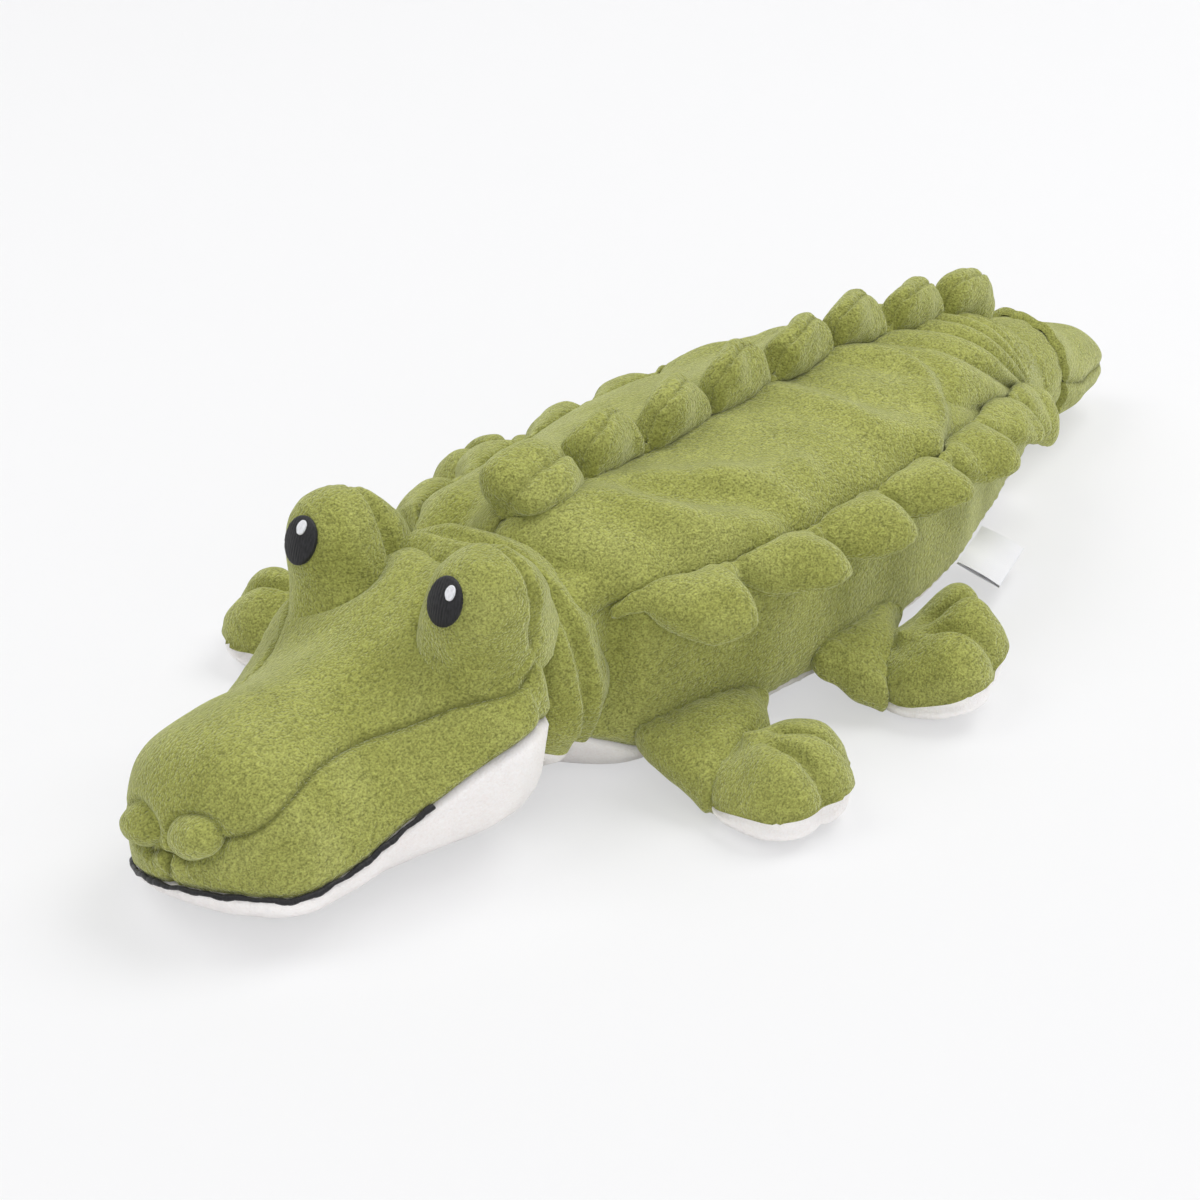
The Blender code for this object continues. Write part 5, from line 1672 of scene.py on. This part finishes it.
def toe_creases(x, y):
    """How near each point is to a crease between two toes."""
    crease = np.zeros_like(x)
    for degrees in TOE_LINES:
        ahead, aside = turned(x, y, degrees)
        crease += hill(aside, TOE_CREASE_WIDTH) * ease(ahead, *TOE_CREASE_FADE)
    return crease


def upper_height(x, y, reach, crease):
    """How high the upper stands over the rim."""
    domes = [lobe[4] * np.sqrt(np.clip(1 - lobe_distance(x, y, lobe) ** 2, 0, 1)) for lobe in FOOT_LOBES]
    dome = (np.array(domes) ** DOME_POWER).sum(axis=0) ** (1 / DOME_POWER)
    swell = dome * np.sqrt(np.clip(1 - reach ** RIM_POWER, 0, 1))
    return swell - UPPER_CREASE * crease * (1 - reach ** CREASE_POWER)


def sole_height(rim, toes, reach, crease):
    """How far the sole hangs below the rim."""
    power = SOLE_POWERS[0] + SOLE_POWERS[1] * toes
    hang = -rim * (1 - reach ** power) ** (1 / power)
    return hang + SOLE_CREASE * crease * ease(reach, *SOLE_CREASE_FADE) * (1 - reach ** CREASE_POWER)


def foot_grid(word, side, part):
    """The upper or the sole of a foot in the frame's place, with its reach and how near it is to a crease."""
    ankle, out, along = axis_frame(word + "_ankle_bend", side)
    rows, columns = FOOT_GRID
    turns = ring(columns)
    reach, turn = np.meshgrid(np.sin(math.pi / 2 * np.linspace(FOOT_FIRST, 1, rows)), turns, indexing="ij")
    edge = foot_outline(turns)[None, :]
    x = reach * edge * np.cos(turn)
    y = reach * edge * np.sin(turn)
    crease = toe_creases(x, y)
    toes = np.maximum(np.cos(turn), 0.0)
    rim = SOLE_RIM + SOLE_TOE_RIM * toes
    if part == "upper":
        z = rim + upper_height(x, y, reach, crease)
    else:
        z = rim + sole_height(rim, toes, reach, crease)
    toe_lift, rear_lift = FOOT_LIFTS.get(word, (0.0, 0.0))
    z = z + (toe_lift * ease(x, *TOE_LIFT_AHEAD)
             + rear_lift * ease(x, *REAR_LIFT_AHEAD) * ease(y, *REAR_LIFT_ASIDE))
    ahead, aside = turned(x, y, -TOE_TURNS[word])
    grid = ankle + out * ahead[..., None] + along * aside[..., None] + UP * (z - ANKLE_HEIGHT)[..., None]
    return grid, reach, crease


def make_foot(word, side):
    for part, name, cad, cloth in (
        ("upper", "_upper", "_foot", GREEN),
        ("sole", "_sole_skin", "_sole", CREAM),
    ):
        grid, reach, crease = foot_grid(word, side, part)
        piece = Piece(word + name, grid, around=True)
        rim = hill(1 - reach, RIM_WIDTH)
        piece.push(lumpy(grid, FOOT_LUMPS) - RIM_DRAWN_IN[part] * rim)
        # Painted shade in the drawn-in rim and in the creases between the toes
        if part == "upper":
            piece.seam = FOOT_SHADE * np.maximum(rim, crease)
        piece.place(in_place, start=True)
        obj = piece.build(cloth, [word + cad])
        blend_padded(obj)


def make_legs():
    for word in LEG_WORDS:
        side = 1 if word.endswith("left") else -1
        make_sleeve(word, side)
        make_foot(word, side)


# Label

LABEL_WIDTH = 0.022
LABEL_LENGTH = 0.0125
LABEL_THICK = 0.0006
LABEL_DROP = math.radians(25.0)
LABEL_ROOT_DROP = 0.10
LABEL_GRID = (24, 30)
LABEL_CURL = 0.0005
LABEL_CURL_WAVES = 260
LABEL_OPEN = 0.0002


def make_label():
    """A folded tape, left bare, sewn flat into the belly seam."""
    place, out, along = axis_frame("label_flap", 1)
    rows, columns = LABEL_GRID
    share = np.linspace(0, LABEL_LENGTH, rows) / LABEL_LENGTH
    widths = np.linspace(-LABEL_WIDTH / 2, LABEL_WIDTH / 2, columns)
    drop = LABEL_DROP - LABEL_ROOT_DROP * (1 - share)
    x = np.cumsum(np.cos(drop)) * LABEL_LENGTH / rows
    z = -np.cumsum(np.sin(drop)) * LABEL_LENGTH / rows
    curl = LABEL_CURL * np.sin(widths * LABEL_CURL_WAVES)[None, :] * share[:, None]
    normal = out * math.sin(LABEL_DROP) + UP * math.cos(LABEL_DROP)
    middle = place + out * x[:, None, None] + UP * z[:, None, None] + along * widths[None, :, None]
    sheets = []
    for layer in (1, -1):
        gap = layer * (LABEL_THICK / 2 + LABEL_OPEN * np.sin(share * math.pi))
        sheets.append(middle + normal * (gap[:, None] + curl)[..., None])
    grid = np.concatenate((sheets[0], sheets[1][::-1]), axis=0)
    obj = Piece("bare_label", grid).build(TAPE, ["side_label"])
    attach(obj, "label")


# Fillings

# how much of its solid's size each filling has, so that it stays inside the skins
FILL_SHARE = 0.82
HEAD_FILL_SHARE = 0.64
FOOT_FILL_SHARE = 0.55
FILL_LUMPS = (0.006, 0.0005, 31)
FILL_DRAWN_IN = 0.0003


def rounded_copy(cad):
    """A copy of a plain solid as its own mesh with its edges rounded."""
    source = frame["nodes"][cad]
    obj = source.copy()
    obj.data = source.data.copy()
    obj.name = cad + "_fill"
    for key in list(obj.keys()):
        del obj[key]
    bpy.context.scene.collection.objects.link(obj)
    obj.parent = None
    obj.matrix_world = Matrix.Identity(4)
    soft = obj.modifiers.new("rounded", "SUBSURF")
    soft.levels = 1
    soft.render_levels = 1
    bpy.context.view_layer.update()
    made = bpy.data.meshes.new_from_object(obj.evaluated_get(bpy.context.evaluated_depsgraph_get()))
    obj.modifiers.clear()
    obj.data = made
    return obj, made


def wadding(cad, body, cloth, share=FILL_SHARE):
    """A filling, rounded and lumped from its plain solid."""
    slot, material = cloth
    obj, made = rounded_copy(cad)
    co = np.zeros(len(made.vertices) * 3)
    made.vertices.foreach_get("co", co)
    co = co.reshape(-1, 3)
    middle = co.mean(axis=0)
    away = unit(co - middle, SMALL)
    co = middle + (co - middle) * share
    co = co + away * (lumps(co, *FILL_LUMPS)[:, None] - FILL_DRAWN_IN)
    made.vertices.foreach_set("co", co.ravel())
    keep_rest(made, co)
    made.attributes.new("seam", "FLOAT", "POINT")
    made.materials.clear()
    made.materials.append(material)
    made.shade_smooth()
    made.update()
    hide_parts(cad)
    ride_padded(obj, body)


def make_fillings():
    wadding("grain_pouch", "torso", COTTON)
    wadding("head_stuffing", "head", WADDING, HEAD_FILL_SHARE)
    wadding("tail_stuffing", "tail", WADDING)
    for word in LEG_WORDS:
        wadding(word + "_foot_stuffing", word + "_paw", WADDING, FOOT_FILL_SHARE)


# Stage, light and camera

FLOOR_TONE_SHARE = 0.60
FLOOR_TONE = (0.895, 0.895, 0.900, 1.0)
FLOOR_COLOUR = (0.90, 0.90, 0.905, 1.0)
FLOOR_ROUGHNESS = 0.8
FLOOR_HALF_WIDE = 6.0
FLOOR_NEAR = -6.0
FLOOR_FAR = 0.9
CURVE_RADIUS = 0.6
CURVE_STEPS = (0.1, math.pi / 2, 14)
BACKDROP_HEIGHT = 2.2
WORLD_COLOUR = (0.97, 0.97, 1.0, 1.0)
WORLD_LIGHT = 0.38
WORLD_SEEN = 0.93
LIGHT_TARGET = (0.0, 0.0, 0.02)
# azimuth, elevation and distance, then size, power and colour of each lamp
LIGHTS = {
    "key": ((-48, 58, 1.6), 1.1, 8.3, (1.0, 0.995, 0.98)),
    "overhead": ((150, 60, 1.6), 1.1, 15.0, (1.0, 1.0, 1.0)),
    "fill": ((45, 18, 1.8), 1.6, 8.4, (0.99, 0.99, 1.0)),
}


def seen_directly(tree):
    """1 for a ray of the camera, of a reflection or through something clear, 0 for the others."""
    path = node(tree, "ShaderNodeLightPath")
    seen = maths(tree, "MAXIMUM", path.outputs["Is Camera Ray"], path.outputs["Is Glossy Ray"])
    return maths(tree, "MAXIMUM", seen, path.outputs["Is Transmission Ray"])


def seen_paler(tree, shader):
    """Mixes a plain pale tone into the floor that the camera sees, so that its shadows stay soft."""
    share = maths(tree, "MULTIPLY", seen_directly(tree), FLOOR_TONE_SHARE)
    tone = node(tree, "ShaderNodeEmission", in_Color=FLOOR_TONE, in_Strength=1.0)
    both = node(tree, "ShaderNodeMixShader")
    tree.links.new(share, both.inputs[0])
    tree.links.new(shader.outputs["BSDF"], both.inputs[1])
    tree.links.new(tone.outputs["Emission"], both.inputs[2])
    tree.links.new(both.outputs["Shader"], tree.nodes["Material Output"].inputs["Surface"])


def make_stage():
    """A pale floor that curves up into a backdrop."""
    profile = [(FLOOR_NEAR, 0.0), (FLOOR_FAR, 0.0)]
    for a in np.linspace(*CURVE_STEPS):
        profile.append((FLOOR_FAR + CURVE_RADIUS * math.sin(a), CURVE_RADIUS * (1 - math.cos(a))))
    profile.append((FLOOR_FAR + CURVE_RADIUS, BACKDROP_HEIGHT))
    points, faces = [], []
    turn = math.radians(VIEW_AZIMUTH)
    back = np.array((-math.sin(turn), math.cos(turn), 0.0))
    wide = np.array((back[1], -back[0], 0.0))
    for y, z in profile:
        for x in (-FLOOR_HALF_WIDE, FLOOR_HALF_WIDE):
            points.append(tuple(back * y + wide * x + UP * z))
    for i in range(len(profile) - 1):
        faces.append((2 * i, 2 * i + 1, 2 * i + 3, 2 * i + 2))
    mesh = bpy.data.meshes.new("floor")
    mesh.from_pydata(points, [], faces)
    mesh.shade_smooth()
    floor = bpy.data.objects.new("floor", mesh)
    bpy.context.scene.collection.objects.link(floor)
    material = bpy.data.materials.new("pale_floor")
    material.use_nodes = True
    shader = material.node_tree.nodes["Principled BSDF"]
    shader.inputs["Base Color"].default_value = FLOOR_COLOUR
    shader.inputs["Roughness"].default_value = FLOOR_ROUGHNESS
    seen_paler(material.node_tree, shader)
    mesh.materials.append(material)


def seen_from(azimuth, elevation, distance):
    a, e = math.radians(azimuth), math.radians(elevation)
    return np.array((math.sin(a) * math.cos(e), -math.cos(a) * math.cos(e), math.sin(e))) * distance


def area_light(name, seen_at, size, power, colour):
    light = bpy.data.lights.new(name, "AREA")
    light.shape = "DISK"
    light.size = size
    light.energy = power
    light.color = colour
    obj = bpy.data.objects.new(name, light)
    place = Vector(tuple(seen_from(*seen_at)))
    obj.location = place
    obj.rotation_euler = (Vector(LIGHT_TARGET) - place).to_track_quat("-Z", "Y").to_euler()
    bpy.context.scene.collection.objects.link(obj)


def make_light():
    for name, settings in LIGHTS.items():
        area_light(name, *settings)
    world = bpy.data.worlds.new("pale_room")
    world.use_nodes = True
    tree = world.node_tree
    background = tree.nodes["Background"]
    background.inputs["Color"].default_value = WORLD_COLOUR
    more = maths(tree, "MULTIPLY", seen_directly(tree), WORLD_SEEN - WORLD_LIGHT)
    tree.links.new(maths(tree, "ADD", more, WORLD_LIGHT), background.inputs["Strength"])
    bpy.context.scene.world = world


def make_camera():
    camera = bpy.data.cameras.new("view")
    camera.angle = math.radians(VIEW_FIELD_DEG)
    obj = bpy.data.objects.new("view", camera)
    place = np.array(VIEW_TARGET) + SHIFT + seen_from(VIEW_AZIMUTH, VIEW_ELEVATION, VIEW_DISTANCE)
    obj.location = tuple(place)
    obj.rotation_euler = (math.radians(90 - VIEW_ELEVATION), 0.0, math.radians(VIEW_AZIMUTH))
    bpy.context.scene.collection.objects.link(obj)
    bpy.context.scene.camera = obj
    bpy.context.scene.view_settings.view_transform = "Standard"


make_body()
make_tail_root()
make_tail()
make_scutes()
make_neck()
make_head()
make_turrets()
make_eyes()
make_nostrils()
make_mouth()
make_legs()
make_label()
make_fillings()
make_stage()
make_light()
make_camera()
